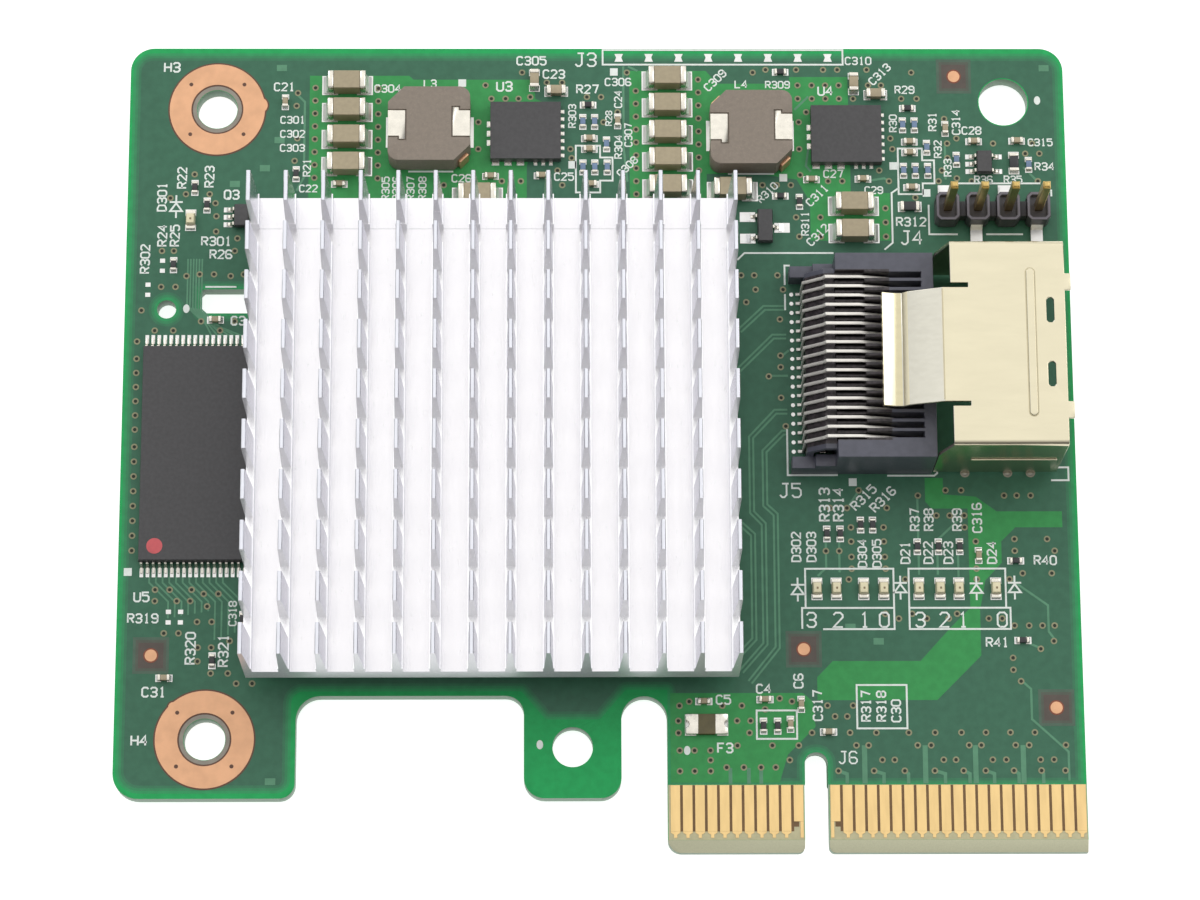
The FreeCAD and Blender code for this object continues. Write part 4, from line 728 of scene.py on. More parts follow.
# Vias as rows: height above the edge, then places along it
VIA_ROWS = {
    6.65: EDGE_VIAS + (20.3, -8.6, -11.1, -9.9),
    7.55: (5.4, 6.4, 10.4, 11.4, 14.4, 15.5, 18.3, 19.4, -8.6, -2.15),
    8.75: (3.3, 4.3, 8.3, 9.4, 12.5, 13.5, 16.3, 17.4, 20.4, -3.55, -6.4, -1.4),
    9.8: (2.8, 4.95, 7.6, 9.75, 11.9, 13.9, 15.9, 17.9, -5.4, -0.3, -11.2), 6.95: (-7.3, -5.9, -4.5, -3.3),
    8.35: (-11.1, -9.9, -8.6), 10.8: (-11.2, -6.4, -5.3), 12.05: (-11.1, -7.6, -6.0, 1.0, 3.1),
    12.4: (-10.3, -1.9), 12.65: (-2.9,), 11.75: (-4.1,), 11.15: (1.6, 2.6), 15.0: (16.3,), 16.0: (16.3,),
    14.05: (16.9,), 16.75: (18.6,), 17.4: (19.7,), 18.7: (16.5, 17.7, 18.8, 19.8),
    19.3: (7.0, 9.3, 11.1, 14.4, 15.5), 19.7: (8.1, 11.8, 5.9), 22.6: (2.95, 7.6, 13.5, 16.2),
    23.1: (17.3, 19.7), 23.5: (3.2, 6.0, 13.5), 24.5: (3.2, 5.95), 25.0: (16.7, 20.0, 1.1, 2.2),
    25.8: (3.2, 5.9, 13.5), 26.0: (16.7, 19.4), 27.0: (3.2, 5.9, 12.6), 28.0: (10.3, 11.4, 12.6),
    28.65: (6.2, 1.5, 2.9), 29.7: (8.8, 15.95, 17.0, 18.15), 30.15: (11.1, 12.4, 3.9), 35.65: (-2.05,),
    38.1: (-2.4,), 39.95: (-3.4,), 40.75: (-2.4,), 41.75: (-2.4,), 44.9: (-2.4,), 46.4: (-5.2,),
    47.5: (-4.4, -2.1), 48.75: (-5.6, -4.5, -2.55), 52.15: (-0.65, 1.15, 6.65), 53.4: (6.65,),
    53.85: (-0.9, 1.15), 54.65: (6.65,), 55.1: (-49.8,), 55.6: (9.2,),
    56.7: (-3.7, -2.5, -1.3, -20.6, -30.6), 57.05: (1.85, 3.05, -24.1, -28.0, -25.7, 7.0, 11.2, 14.0, 19.6),
    57.3: (12.75,), 57.6: (-0.5,), 58.0: (6.2, -21.0, 11.5), 59.1: (-19.8, 12.0), 59.5: (18.6, 19.8),
    59.9: (-0.55, 7.35, -19.9, -27.7), 60.4: (12.0, 19.2, 15.9), 60.85: (7.2, 12.8, -43.0),
    62.3: (-0.55, -27.7, -17.1), 62.6: (11.8,), 63.2: (0.1, -15.9),
    64.4: (-0.6, 0.6, 1.75, 2.9, 4.1, 8.2, 9.5, -26.6, -25.4, -24.3), 64.55: (-23.3, -18.5, -17.3),
    65.6: (-0.6, 0.6, 1.75, 2.9, 5.4, 6.5, -27.1), 65.85: (-21.9, -20.6), 66.75: (-4.4, 9.1, -24.0, -15.1),
    67.0: (-3.3, -0.7, 1.6, 2.8, 5.3), 13.95: (-47.3, -46.0), 14.8: (-49.4, -48.0), 15.8: (-50.5,),
    16.95: (-50.5, -49.4), 17.5: (-47.9,), 18.15: (-53.3, -52.1), 19.1: (-50.6, -49.4), 20.4: (-49.8,),
    20.85: (-54.1, -52.3, -51.2), 21.45: (-50.1, -48.9), 21.8: (-54.1, -52.9, -51.1),
    43.95: (-54.65, -53.1, -49.2), 44.75: (-50.8, -48.0), 45.7: (-55.8,), 47.75: (-54.2, -53.0),
    48.7: (-52.1, -48.4), 48.85: (-51.0, -49.8, -47.3), 50.9: (-54.2, -53.2, -48.1), 52.0: (-47.9,),
    52.6: (-49.7,), 53.95: (-49.7,), 55.55: (-53.6,), 55.9: (-52.3, -50.3), 57.65: (-51.6,),
    58.85: (-43.2,), 63.75: (-43.1,), 64.9: (-43.0,)}
# Via columns beside the bulk capacitors and the flash chip: x, first y, pitch, count
VIA_COLUMNS = [
    (-41.52, 57.35, 1.145, 8), (-36.18, 57.3, 1.145, 8), (-14.35, 55.9, 1.15, 9), (-9.05, 58.0, 1.16, 8),
    (-56.1, 25.1, 1.26, 8), (-56.1, 35.4, 1.22, 6), (-56.1, 43.0, 1.2, 1)]
VIA_RADIUS = 0.275
VIA_HOLE_RADIUS = 0.15
VIA_OVERLAP = 0.01
VIA_SIDES = 14


def vias(face, label):
    places = [(x, y) for y, xs in VIA_ROWS.items() for x in xs]
    for x, first, pitch, count in VIA_COLUMNS:
        places += [(x, first + index * pitch) for index in range(count)]
    rings = Pieces(face)
    holes = Pieces(face)
    for x, y in places:
        rings.ring(x, y, VIA_HOLE_RADIUS, VIA_RADIUS, VIA_RING_HEIGHT, VIA_SIDES)
        holes.disc(x, y, VIA_HOLE_RADIUS + VIA_OVERLAP, VIA_HOLE_HEIGHT, sides=VIA_SIDES)
    rings.build("via_rings" + label, "via_ring", "board_laminate")
    holes.build("via_holes" + label, "via_hole", "board_laminate")


def copper_plane(face, label):
    """The plane in steps, each smaller and darker, so that its edge is soft."""
    step = 360 / OPENING_SIDES
    for number, height in enumerate(PLANE_STEPS):
        pieces = Pieces(face)
        grow = PLANE_SOFTNESS * (1.0 - number)
        holes = [arc(x, y, radius - soft * grow, 360, step, OPENING_SIDES - 1)
                 for x, y, radius, soft in PLANE_HOLES]
        holes.append(rounded(PLANE_SLOT, -grow)[::-1])
        pieces.pierced(rounded(PLANE, grow), holes, height)
        pieces.build("plane_%s_%d" % (label, number), "plane_%d" % number, "board_laminate")


def fiducials():
    for number, share in enumerate(WINDOW_STEPS):
        windows = Pieces()
        length, width = (side * share for side in WINDOW)
        for x, y in FIDUCIALS:
            windows.rectangle(x, y, length, width, KEEP_OUT_HEIGHT + number * WINDOW_RISE)
        windows.build("fiducial_windows_%d" % number, "window_%d" % number, "board_laminate")
    dots = Pieces()
    borders = Pieces()
    for x, y in FIDUCIALS:
        dots.disc(x, y, DOT_RADIUS, PAD_HEIGHT, sides=DOT_SIDES)
        borders.ring(x, y, DOT_RADIUS, DOT_RADIUS + DOT_BORDER, VIA_RING_HEIGHT, DOT_SIDES)
    dots.build("fiducial_dots", "copper", "bare_copper")
    borders.build("fiducial_borders", "dot_border", "board_laminate")


def board_artwork():
    copper_plane(1, "upper")
    pours = Pieces()
    for outline in POURS:
        pours.slab(outline, POUR_HEIGHT)
    pours.build("copper_pours", "pour", "board_laminate")
    fiducials()
    tracks = Pieces()
    for path in TRACKS:
        tracks.strip(path, TRACK_WIDTH, TRACE_HEIGHT)
    for x, y in PATCHES:
        tracks.rectangle(x, y, *PATCH_SIZE, TRACE_HEIGHT)
    for path in PAIRS:
        for side in (-1, 1):
            tracks.strip(beside(path, side * PAIR_GAP / 2), PAIR_WIDTH, PAIR_HEIGHT)
    side_by_side(tracks, FANS)
    edge_tracks(tracks)
    tracks.build("tracks", "trace", "board_laminate")
    vias(1, "")


def side_by_side(tracks, fans):
    for indices, width, bends in fans:
        for index in indices:
            path = [(x + index * step_x, y + index * step_y) for x, step_x, y, step_y in bends]
            tracks.strip(path, width, TRACE_HEIGHT)


def edge_tracks(tracks):
    """Short tracks from the edge contacts up to their vias."""
    for places, width, top, bends in EDGE_TRACKS:
        for x in places:
            path = [(x, top), (x, EDGE_END)]
            if bends:
                contact = round(x) + MIDWAY
                path = [(x, top), (contact, EDGE_BEND), (contact, EDGE_END)]
            tracks.strip(path, width, TRACE_HEIGHT)


# Stroke font on a grid four wide and six high, two digits a point
STROKES = {
    "0": ["10 30 41 45 36 16 05 01 10"],
    "1": ["15 26 20", "10 30"],
    "2": ["05 16 36 45 44 00 40"],
    "3": ["01 10 30 41 42 33 13", "33 44 45 36 16 05"],
    "4": ["42 02 36 30"],
    "5": ["01 10 30 41 43 34 04 06 46"],
    "6": ["03 13 33 42 41 30 10 01 05 16 36 45"],
    "7": ["06 46 20"],
    "8": ["13 04 05 16 36 45 44 33 13 02 01 10 30 41 42 33"],
    "9": ["01 10 30 41 45 36 16 05 04 13 43"],
    "C": ["41 30 10 01 05 16 36 45"],
    "D": ["00 06 26 45 41 20 00"],
    "F": ["00 06 46", "03 33"],
    "H": ["00 06", "40 46", "03 43"],
    "J": ["01 10 20 31 36", "16 46"],
    "L": ["06 00 40"],
    "Q": ["10 30 41 45 36 16 05 01 10", "21 40"],
    "R": ["00 06 36 45 44 33 03", "23 40"],
    "U": ["06 01 10 30 41 46"],
}
GRID = (4, 6)
GLYPH_WIDTH = 0.56
GLYPH_ADVANCE = 0.77
GLYPH_STROKE = 0.16
# Crossing strokes differ a little in height, so that no two faces lie in one plane
INK_STEP = 0.001


def write(ink, text, x, y, height, angle, stroke=GLYPH_STROKE):
    """Ink strokes of a short text, centred on (x, y)."""
    turn = math.radians(angle)
    across = Vector((math.cos(turn), math.sin(turn)))
    up = Vector((-across.y, across.x))
    length = (len(text) - 1) * GLYPH_ADVANCE * height
    for index, letter in enumerate(text):
        centre = Vector((x, y)) + across * (index * GLYPH_ADVANCE * height - length / 2)
        for number, line in enumerate(STROKES[letter]):
            path = []
            for point in line.split():
                u = (int(point[0]) - GRID[0] / 2) / GRID[0] * GLYPH_WIDTH * height
                v = (int(point[1]) - GRID[1] / 2) / GRID[1] * height * (1 - stroke)
                path.append(tuple(centre + across * u + up * v))
            ink.strip(path, stroke * height, INK_HEIGHT + number * INK_STEP)


# Part labels, numbered plainly by letter and count of digits: x, y, height, angle
LABELS = {
    "H1": [(-53.7, 67.2, 0.95, 0), (-55.1, 9.25, 0.95, 0)],
    "C2": [(-44.15, 65.45, 0.8, 0), (-42.0, 56.4, 0.7, 0), (-21.3, 66.6, 0.85, 0), (-15.85, 64.35, 0.7, 90),
           (-20.45, 57.45, 0.75, 0), (-29.1, 57.3, 0.75, 0), (2.3, 57.7, 0.75, 0), (14.1, 61.55, 0.75, 0),
           (5.7, 56.25, 0.7, 0), (6.6, 11.6, 0.85, 90), (-54.0, 13.25, 0.9, 0)],
    "C3": [(-43.4, 62.5, 0.7, 0), (-43.4, 61.25, 0.7, 0), (-43.4, 60.0, 0.7, 0), (-35.4, 65.3, 0.75, 0),
           (-23.2, 67.8, 0.85, 0), (-15.85, 65.9, 0.75, 0), (-15.0, 61.15, 0.7, 90),
           (-15.1, 58.35, 0.7, 45), (-7.6, 66.05, 0.75, 45), (4.6, 67.8, 0.75, 0), (0.9, 55.8, 0.75, 45),
           (0.9, 52.3, 0.75, 45), (6.4, 66.6, 0.75, 45), (12.8, 62.3, 0.75, 90), (19.9, 60.5, 0.7, 0),
           (13.65, 27.8, 0.85, 90), (0.2, 12.05, 0.85, 90), (-47.7, 19.8, 0.7, 90)],
    "R2": [(-42.15, 58.25, 0.7, 90), (-52.65, 57.35, 0.85, 90), (-50.35, 57.45, 0.85, 90),
           (-54.2, 52.25, 0.85, 90), (-53.15, 52.25, 0.85, 90), (-49.25, 50.6, 0.85, 0),
           (-18.45, 65.25, 0.85, 0), (-16.65, 62.65, 0.6, 90), (8.5, 65.2, 0.75, 0), (7.45, 62.2, 0.7, 90),
           (10.8, 62.35, 0.75, 90), (11.2, 59.9, 0.7, 90), (12.0, 58.25, 0.7, 90), (20.2, 58.35, 0.75, 0),
           (17.5, 57.2, 0.7, 0), (15.0, 57.2, 0.7, 0), (8.5, 27.65, 0.85, 90), (9.65, 27.65, 0.85, 90),
           (12.0, 27.65, 0.85, 90), (19.2, 24.2, 0.85, 0), (15.05, 17.3, 0.85, 0)],
    "D3": [(-54.3, 55.65, 0.85, 90), (-1.35, 25.35, 0.85, 90), (-0.1, 25.35, 0.85, 90),
           (4.1, 24.8, 0.8, 90), (5.3, 24.8, 0.8, 90)],
    "Q1": [(-48.45, 55.85, 0.9, 0)],
    "R3": [(-49.65, 51.75, 0.85, 0), (-55.6, 50.2, 0.85, 90), (-19.75, 62.85, 0.7, 90),
           (-15.85, 60.1, 0.7, 90), (-35.5, 56.4, 0.7, 90), (-34.6, 56.4, 0.7, 90), (-33.4, 56.4, 0.7, 90),
           (-32.4, 56.4, 0.7, 90), (-2.3, 65.65, 0.7, 0), (-3.3, 56.05, 0.7, 45), (-0.15, 53.3, 0.7, 90),
           (8.8, 53.45, 0.85, 0), (1.05, 28.95, 0.95, 90), (2.2, 28.95, 0.95, 90), (4.3, 29.55, 0.85, 45),
           (5.9, 29.4, 0.85, 45), (4.15, 12.0, 0.85, 90), (5.4, 12.0, 0.85, 90), (-55.05, 19.4, 0.85, 0),
           (-51.1, 16.9, 0.9, 90), (-48.4, 16.7, 0.9, 90)],
    "C1": [(-47.7, 44.8, 0.85, 0), (-4.2, 13.45, 0.85, 0), (-7.5, 12.55, 0.85, 0), (-1.35, 14.1, 0.85, 90)],
    "L1": [(-31.8, 65.75, 0.75, 0), (-5.4, 65.7, 0.75, 0)],
    "U1": [(-25.5, 65.5, 0.95, 0), (1.75, 65.1, 0.9, 0), (-55.2, 21.2, 0.9, 0)],
    "D2": [(7.65, 24.85, 0.85, 90), (9.55, 24.85, 0.85, 90), (11.2, 24.85, 0.85, 90),
           (14.8, 24.85, 0.85, 90)],
    "F1": [(-7.4, 8.55, 0.9, 0)],
}
FIRST_NUMBER = {"1": 3, "2": 21, "3": 301}
THIN_LABELS = {
    "J1": [(-18.6, 67.9, 1.3, 0), (8.8, 52.05, 1.3, 0), (-1.75, 30.15, 1.3, 0), (2.6, 7.75, 1.1, 0)],
}
LAMP_DIGITS = [
    ("3", -0.2), ("2", 2.0), ("1", 4.2), ("0", 5.8), ("3", 8.75), ("2", 10.75), ("1", 12.3), ("0", 15.5)]
LAMP_DIGIT_Y = 19.2
LAMP_DIGIT_HEIGHT = 1.35
THIN_STROKE = 0.11
LINE_WIDTH = 0.15
INK_LINES = [
    [(-0.95, 18.45), (-0.95, 20.2), (-0.73, 20.2)], [(0.75, 18.42), (6.63, 18.42), (6.63, 20.12)],
    [(15.94, 20.2), (16.2, 20.2), (16.2, 18.42), (7.88, 18.42), (7.88, 20.12)],
    [(7.75, 56.4), (7.2, 56.0), (7.2, 51.6), (6.5, 51.0)], [(2.2, 31.45), (-1.95, 31.45), (-1.95, 35.4)],
    [(-1.5, 49.6), (-1.95, 49.6), (-1.95, 47.9)], [(-1.95, 47.1), (-1.95, 45.7)],
    [(6.3, 31.4), (10.2, 31.4), (10.45, 31.6), (10.45, 33.0)], [(-5.9, 50.1), (-5.3, 50.7), (2.2, 50.7)],
    [(10.3, 54.95), (10.3, 52.35), (12.7, 52.35)], [(15.1, 52.35), (18.2, 52.35)],
    [(12.4, 56.85), (19.8, 56.85)], [(20.7, 56.3), (20.7, 55.7)],
    [(19.9, 32.1), (21.35, 32.1), (21.35, 31.0), (19.9, 31.0)], [(-33.6, 57.9), (-29.8, 57.9)],
    [(-6.6, 57.7), (-2.7, 57.7)], [(-50.5, 47.75), (-47.9, 47.75)]]
INK_FRAMES = [
    [(-0.65, 20.2), (6.63, 20.2), (6.63, 23.5), (-0.65, 23.5)],
    [(7.88, 20.2), (15.86, 20.2), (15.86, 23.5), (7.88, 23.5)],
    [(-19.45, 56.05), (-17.4, 56.05), (-17.4, 57.1), (-16.35, 57.1), (-16.35, 59.15), (-17.4, 59.15),
     (-17.4, 60.2), (-19.45, 60.2)],
    [(7.8, 55.9), (9.85, 55.9), (9.85, 56.85), (10.85, 56.85), (10.85, 58.9), (9.85, 58.9), (9.85, 59.95),
     (7.8, 59.95)], [(-17.15, 67.46), (3.28, 67.46), (3.28, 68.78), (-17.15, 68.78)],
    [(-4.8, 9.3), (-1.52, 9.3), (-1.52, 11.65), (-4.8, 11.65)],
    [(3.41, 10.15), (7.5, 10.15), (7.5, 13.75), (3.41, 13.75)]]
INK_SQUARES = [
    (-29.08, 65.8), (-16.2, 66.8), (-1.93, 57.35), (3.43, 30.85), (-56.37, 23.3), (-19.75, 58.5),
    (7.4, 58.4), (10.15, 56.0)]
SQUARE_SIZE = 0.66
INK_OVALS = [(-52.05, 45.85), (19.75, 64.25), (-22.5, 8.85), (-10.5, 8.35)]
OVAL_RADIUS = 0.27
OVAL_STRETCH = 1.4
# Lamp symbols: a triangle, a bar over it and a line at each end
LAMP_SYMBOLS = [(-1.28, 21.75), (7.18, 21.9), (13.45, 21.85), (16.6, 21.9), (-53.1, 54.8)]
SYMBOL_TRIANGLE = [(-0.5, -0.4), (0.5, -0.4), (0.0, 0.3)]
SYMBOL_BAR = [(-0.55, 0.4), (0.55, 0.4)]
SYMBOL_END = (0.48, 1.0)


def numbered(labels):
    """Each label's text and place."""
    for (letter, digits), places in labels.items():
        for number, place in enumerate(places, FIRST_NUMBER[digits]):
            yield letter + str(number), *place


def lamp_symbol(ink, x, y):
    ink.strip([(x + u, y + v) for u, v in SYMBOL_TRIANGLE], LINE_WIDTH, INK_HEIGHT, closed=True)
    ink.strip([(x + u, y + v) for u, v in SYMBOL_BAR], LINE_WIDTH, INK_HEIGHT + INK_STEP)
    for end in (1, -1):
        ink.strip([(x, y + end * reach) for reach in SYMBOL_END], LINE_WIDTH, INK_HEIGHT)


def printed_ink():
    ink = Pieces()
    for label in numbered(LABELS):
        write(ink, *label)
    for label in numbered(THIN_LABELS):
        write(ink, *label, THIN_STROKE)
    for digit, x in LAMP_DIGITS:
        write(ink, digit, x, LAMP_DIGIT_Y, LAMP_DIGIT_HEIGHT, 0, THIN_STROKE)
    for path in INK_LINES:
        ink.strip(path, LINE_WIDTH, INK_HEIGHT)
    for path in INK_FRAMES:
        ink.strip(path, LINE_WIDTH, INK_HEIGHT, closed=True)
    for x, y in INK_SQUARES:
        ink.rectangle(x, y, SQUARE_SIZE, SQUARE_SIZE, INK_HEIGHT)
    for x, y in INK_OVALS:
        ink.disc(x, y, OVAL_RADIUS, INK_HEIGHT, stretch=OVAL_STRETCH)
    for x, y in LAMP_SYMBOLS:
        lamp_symbol(ink, x, y)
    ink.build("printed_ink", "ink", "board_laminate")


# Small chip parts: node, finish of the body and end length; the ends stand proud by the step
SMALL_CHIPS = [("small_capacitors", "ceramic", 0.25), ("large_resistors", "black_glaze", 0.3),
               ("chip_resistors", "black_glaze", 0.22), ("precision_resistors", "blue_glaze", 0.22)]
END_STEP = 0.03
BODY_BEVEL = 0.02
END_BEVEL = 0.05
# Large chip parts whose ends are paired solids: bodies, ends, kind of joint
LARGE_CHIPS = [("bulk_capacitor_bodies", "bulk_capacitor_ends", "bulk"),
               ("medium_capacitor_bodies", "medium_capacitor_ends", "small"),
               ("indicator_light_bases", "indicator_light_terminals", "lamp"),
               ("fuse_body", "fuse_terminals", "fuse")]
# Solder joints: how far the pads reach past the ends, beside them and under them, and the fillets' shares
PAD_REACH = {"bulk": 0.55, "lamp": 0.14, "fuse": 0.06, "small": 0.2}
PAD_SIDE = 0.05
PAD_UNDER = 0.25
FILLET_WIDTH = 0.92
FILLET_REACH = 0.8
FILLET_RISE = 0.5
FILLET_SECTION = ((0.0, 0.0), (1.0, 0.0), (1.0, 0.08), (0.5, 0.3), (0.15, 0.7), (0.0, 1.0))


def fillet(solder, x, y, outward, width, reach, rise):
    """Concave wedge of solder from a part's end down to its pad."""
    dx, dy = outward
    rings = []
    for side in (-1, 1):
        start_x = x - dy * side * width / 2
        start_y = y + dx * side * width / 2
        rings.append([(start_x + dx * out * reach, start_y + dy * out * reach, TOP + up * rise)
                      for out, up in FILLET_SECTION])
    solder.loft(rings)


def turned(pair, along_x):
    return tuple(pair) if along_x else tuple(pair)[::-1]


def chip_joint(pads, solder, centre, size, along_x, kind="small"):
    """Pads and fillets at both ends of a chip part."""
    length, width = turned(size.xy, along_x)
    reach = PAD_REACH[kind]
    pad_length = reach + length * PAD_UNDER
    pad = turned((pad_length, width + 2 * PAD_SIDE), along_x)
    shift = reach - pad_length / 2
    for side in (-1, 1):
        dx, dy = turned((side, 0), along_x)
        x = centre.x + dx * length / 2
        y = centre.y + dy * length / 2
        pads.rectangle(x + dx * shift, y + dy * shift, *pad, PAD_HEIGHT)
        fillet(solder, x, y, (dx, dy), width * FILLET_WIDTH, reach * FILLET_REACH, size.z * FILLET_RISE)


def small_chips(pads, solder):
    ends = Pieces()
    for node, finish, end in SMALL_CHIPS:
        bodies = Pieces()
        for centre, size in solids_of(node):
            along_x = size.x > size.y
            length, width = turned(size.xy, along_x)
            inner = turned((length - 2 * end, width - 2 * END_STEP), along_x)
            bodies.block(centre, (*inner, size.z - 2 * END_STEP))
            for side in (-1, 1):
                dx, dy = turned((side * (length - end) / 2, 0.0), along_x)
                ends.block((centre.x + dx, centre.y + dy, centre.z), (*turned((end, width), along_x), size.z))
            chip_joint(pads, solder, centre, size, along_x)
        body = bodies.build(node + "_dressed", finish, finish, bevel=BODY_BEVEL)
        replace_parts(body, node)
    ends.build("small_chip_ends", "tin", "tin_plating", bevel=END_BEVEL)


def large_chips(pads, solder):
    for node, ends_node, kind in LARGE_CHIPS:
        ends = solids_of(ends_node)
        for centre, _ in solids_of(node):
            ends.sort(key=lambda item: (item[0].xy - centre.xy).length)
            (first, first_size), (second, _) = ends[:2]
            along_x = abs(first.x - second.x) > abs(first.y - second.y)
            axis = 0 if along_x else 1
            whole = first_size.copy()
            whole[axis] += abs(first[axis] - second[axis])
            chip_joint(pads, solder, centre, whole, along_x, kind)


# Flash chip's pads: size, and how far out from the leads' middles
FLASH_PAD = (0.3, 0.75)
FLASH_PAD_OUT = 0.35
# Pads of the small semiconductors' leads: reach past the toe and added width; how far they lie under it
LEAD_PADS = {"load_switch_leads": (0.35, 0.12), "logic_gate_leads": (0.35, 0.12),
             "transistor_leads": (0.9, 0.55)}
LEAD_UNDER = 0.4
TOE_SHARE = 0.8
TOE_RISE = 0.16
# Header's feet: pad size, how far it lies under the toe, and the solder over the foot and at the heel
HEADER_PAD = (1.15, 0.8)
HEADER_PAD_IN = 0.2
FOOT_WIDTH = 1.0
FOOT_HEIGHT = 0.43
FOOT_OVERLAP = 0.03
HEEL_REACH = 0.6
HEEL_RISE = 1.1
# Solder dots out beyond the port's feet
PORT_DOT_OUT = 0.34
PORT_DOT_RADIUS = 0.17
PORT_DOT_HEIGHT = 0.06
# Pads beside the inductors, and pads round the regulators' terminals, except the wide lands
INDUCTOR_PAD = (0.36, 2.7)
INDUCTOR_PAD_SHIFT = (0.08, 0.1)
WIDE_LAND = 2
TERMINAL_PAD = 1.25


def lead_joints(pads, solder):
    """Pads under the leads and terminals, with a little solder at the toes."""
    low, high = node_box("flash_chip_body")
    for centre, _ in solids_of("flash_chip_leads"):
        side = 1 if centre.y > (low.y + high.y) / 2 else -1
        pads.rectangle(centre.x, centre.y + side * FLASH_PAD_OUT, *FLASH_PAD, PAD_HEIGHT)
    for node, (reach, added) in LEAD_PADS.items():
        low, high = node_box(node)
        for centre, size in solids_of(node):
            side = 1 if centre.x > (low.x + high.x) / 2 else -1
            toe = centre.x + side * size.x / 2
            width = size.y + added
            x = toe + side * (reach - LEAD_UNDER) / 2
            pads.rectangle(x, centre.y, reach + LEAD_UNDER, width, PAD_HEIGHT)
            fillet(solder, toe, centre.y, (side, 0), width * TOE_SHARE, reach * TOE_SHARE, TOE_RISE)
    low, high = node_box("header_insulator")
    for centre, size in solids_of("header_pins"):
        side = 1 if centre.y > (low.y + high.y) / 2 else -1
        toe = centre.y + side * size.y / 2
        heel = high.y if side > 0 else low.y
        pads.rectangle(centre.x, toe - side * HEADER_PAD_IN, *HEADER_PAD, PAD_HEIGHT)
        solder.block((centre.x, (toe + heel) / 2, TOP + FOOT_HEIGHT / 2),
                     (FOOT_WIDTH, abs(toe - heel) + FOOT_OVERLAP, FOOT_HEIGHT))
        fillet(solder, centre.x, heel, (0, side), FOOT_WIDTH, HEEL_REACH, HEEL_RISE)
    for centre, size in solids_of("port_contacts_upper"):
        solder.disc(centre.x - size.x / 2 - PORT_DOT_OUT, centre.y, PORT_DOT_RADIUS, PORT_DOT_HEIGHT)
    out, up = INDUCTOR_PAD_SHIFT
    for number in (1, 2):
        low, high = node_box("inductor_%d_core" % number)
        for x in (low.x - out, high.x + out):
            pads.rectangle(x, (low.y + high.y) / 2 + up, *INDUCTOR_PAD, PAD_HEIGHT)
        for centre, size in solids_of("regulator_%d_terminals" % number):
            if size.x < WIDE_LAND:
                pads.rectangle(centre.x, centre.y, size.x * TERMINAL_PAD, size.y * TERMINAL_PAD, PAD_HEIGHT)


# Row of waisted pads along the upper edge: place, pitch, count and outline; then pairs of bare pads
PAD_ROW = (-15.78, 68.1)
PAD_PITCH = 2.54
PAD_COUNT = 8
WAISTED_PAD = [(-0.36, -0.38), (0.36, -0.38), (0.22, 0.0), (0.36, 0.32), (-0.36, 0.32), (-0.22, 0.0)]
BARE_PAIRS = [(-54.13, 49.6), (-55.3, 47.5), (-52.96, 19.5), (-51.96, 19.5)]
BARE_PAD = (0.42, 0.36)
BARE_PAD_OUT = 0.44


def bare_pads(pads):
    x, y = PAD_ROW
    for index in range(PAD_COUNT):
        pads.slab([(x + PAD_PITCH * index + u, y + v) for u, v in WAISTED_PAD], PAD_HEIGHT)
    for x, y in BARE_PAIRS:
        for side in (-1, 1):
            pads.rectangle(x, y + side * BARE_PAD_OUT, *BARE_PAD, PAD_HEIGHT)


# Bare laminate of the tongue: its two halves beside the key, and the contacts' pencil tips
TONGUE_SPANS = [(-12.06, -1.04), (1.04, 21.96)]
TONGUE_LOW = 1.03
TONGUE_OVERLAP = 0.04
TIP_SHOULDER = 0.1
TIP_TAPER = 0.26
TIP_END = 0.52
STUB_HALF = 0.13
SHORT_GAP = 0.42
SHORT_STEP = 0.1
GAP_WIDTH = 0.24
KEY_STEP = 1.5
BARE_HEIGHT = 0.004
SHORT_GAP_HEIGHT = 0.008
GAP_HEIGHT = 0.009
TIP_HEIGHT = 0.045
FACES = ((1, "upper"), (-1, "lower"))


def contact_stubs():
    """Bare laminate of the tongue with dark gaps between the contacts, and the contacts' tapered tips."""
    low, high = node_box("edge_contacts_upper")
    contacts = sorted(solids_of("edge_contacts_upper"), key=lambda item: item[0].x)
    for face, label in FACES:
        tips = Pieces(face)
        gaps = Pieces(face)
        bare = Pieces(face)
        for left, right in TONGUE_SPANS:
            bare.rectangle((left + right) / 2, (TONGUE_LOW + high.y) / 2, right - left,
                           high.y - TONGUE_LOW + TONGUE_OVERLAP, BARE_HEIGHT)
        for centre, size in contacts:
            front = centre.y - size.y / 2
            half = size.x / 2
            side = 1 if centre.x > 0 else -1
            if front > low.y + SHORT_STEP:
                gaps.rectangle(centre.x + side * (half - SHORT_GAP / 2), front - SHORT_GAP / 2,
                               SHORT_GAP, SHORT_GAP, SHORT_GAP_HEIGHT)
                end = low.y - TIP_END
                tips.rectangle(centre.x - side * (half - STUB_HALF), (front + end) / 2,
                               2 * STUB_HALF, front - end, TIP_HEIGHT)
                continue
            outline = [(half, 0.0), (half, TIP_SHOULDER), (STUB_HALF, TIP_TAPER), (STUB_HALF, TIP_END)]
            points = [(centre.x + u, front - v) for u, v in outline]
            tips.slab(points + [(2 * centre.x - x, y) for x, y in points[::-1]], TIP_HEIGHT)
        for (first, _), (second, _) in zip(contacts, contacts[1:]):
            if second.x - first.x < KEY_STEP:
                x = (first.x + second.x) / 2
                gaps.rectangle(x, (low.y + high.y) / 2, GAP_WIDTH, high.y - low.y, GAP_HEIGHT)
        tips.build("contact_tips_" + label, "gold", "gold_plating")
        gaps.build("contact_gaps_" + label, "dark_gap", "board_laminate")
        bare.build("bare_tongue_" + label, "pale_edge", "board_laminate")


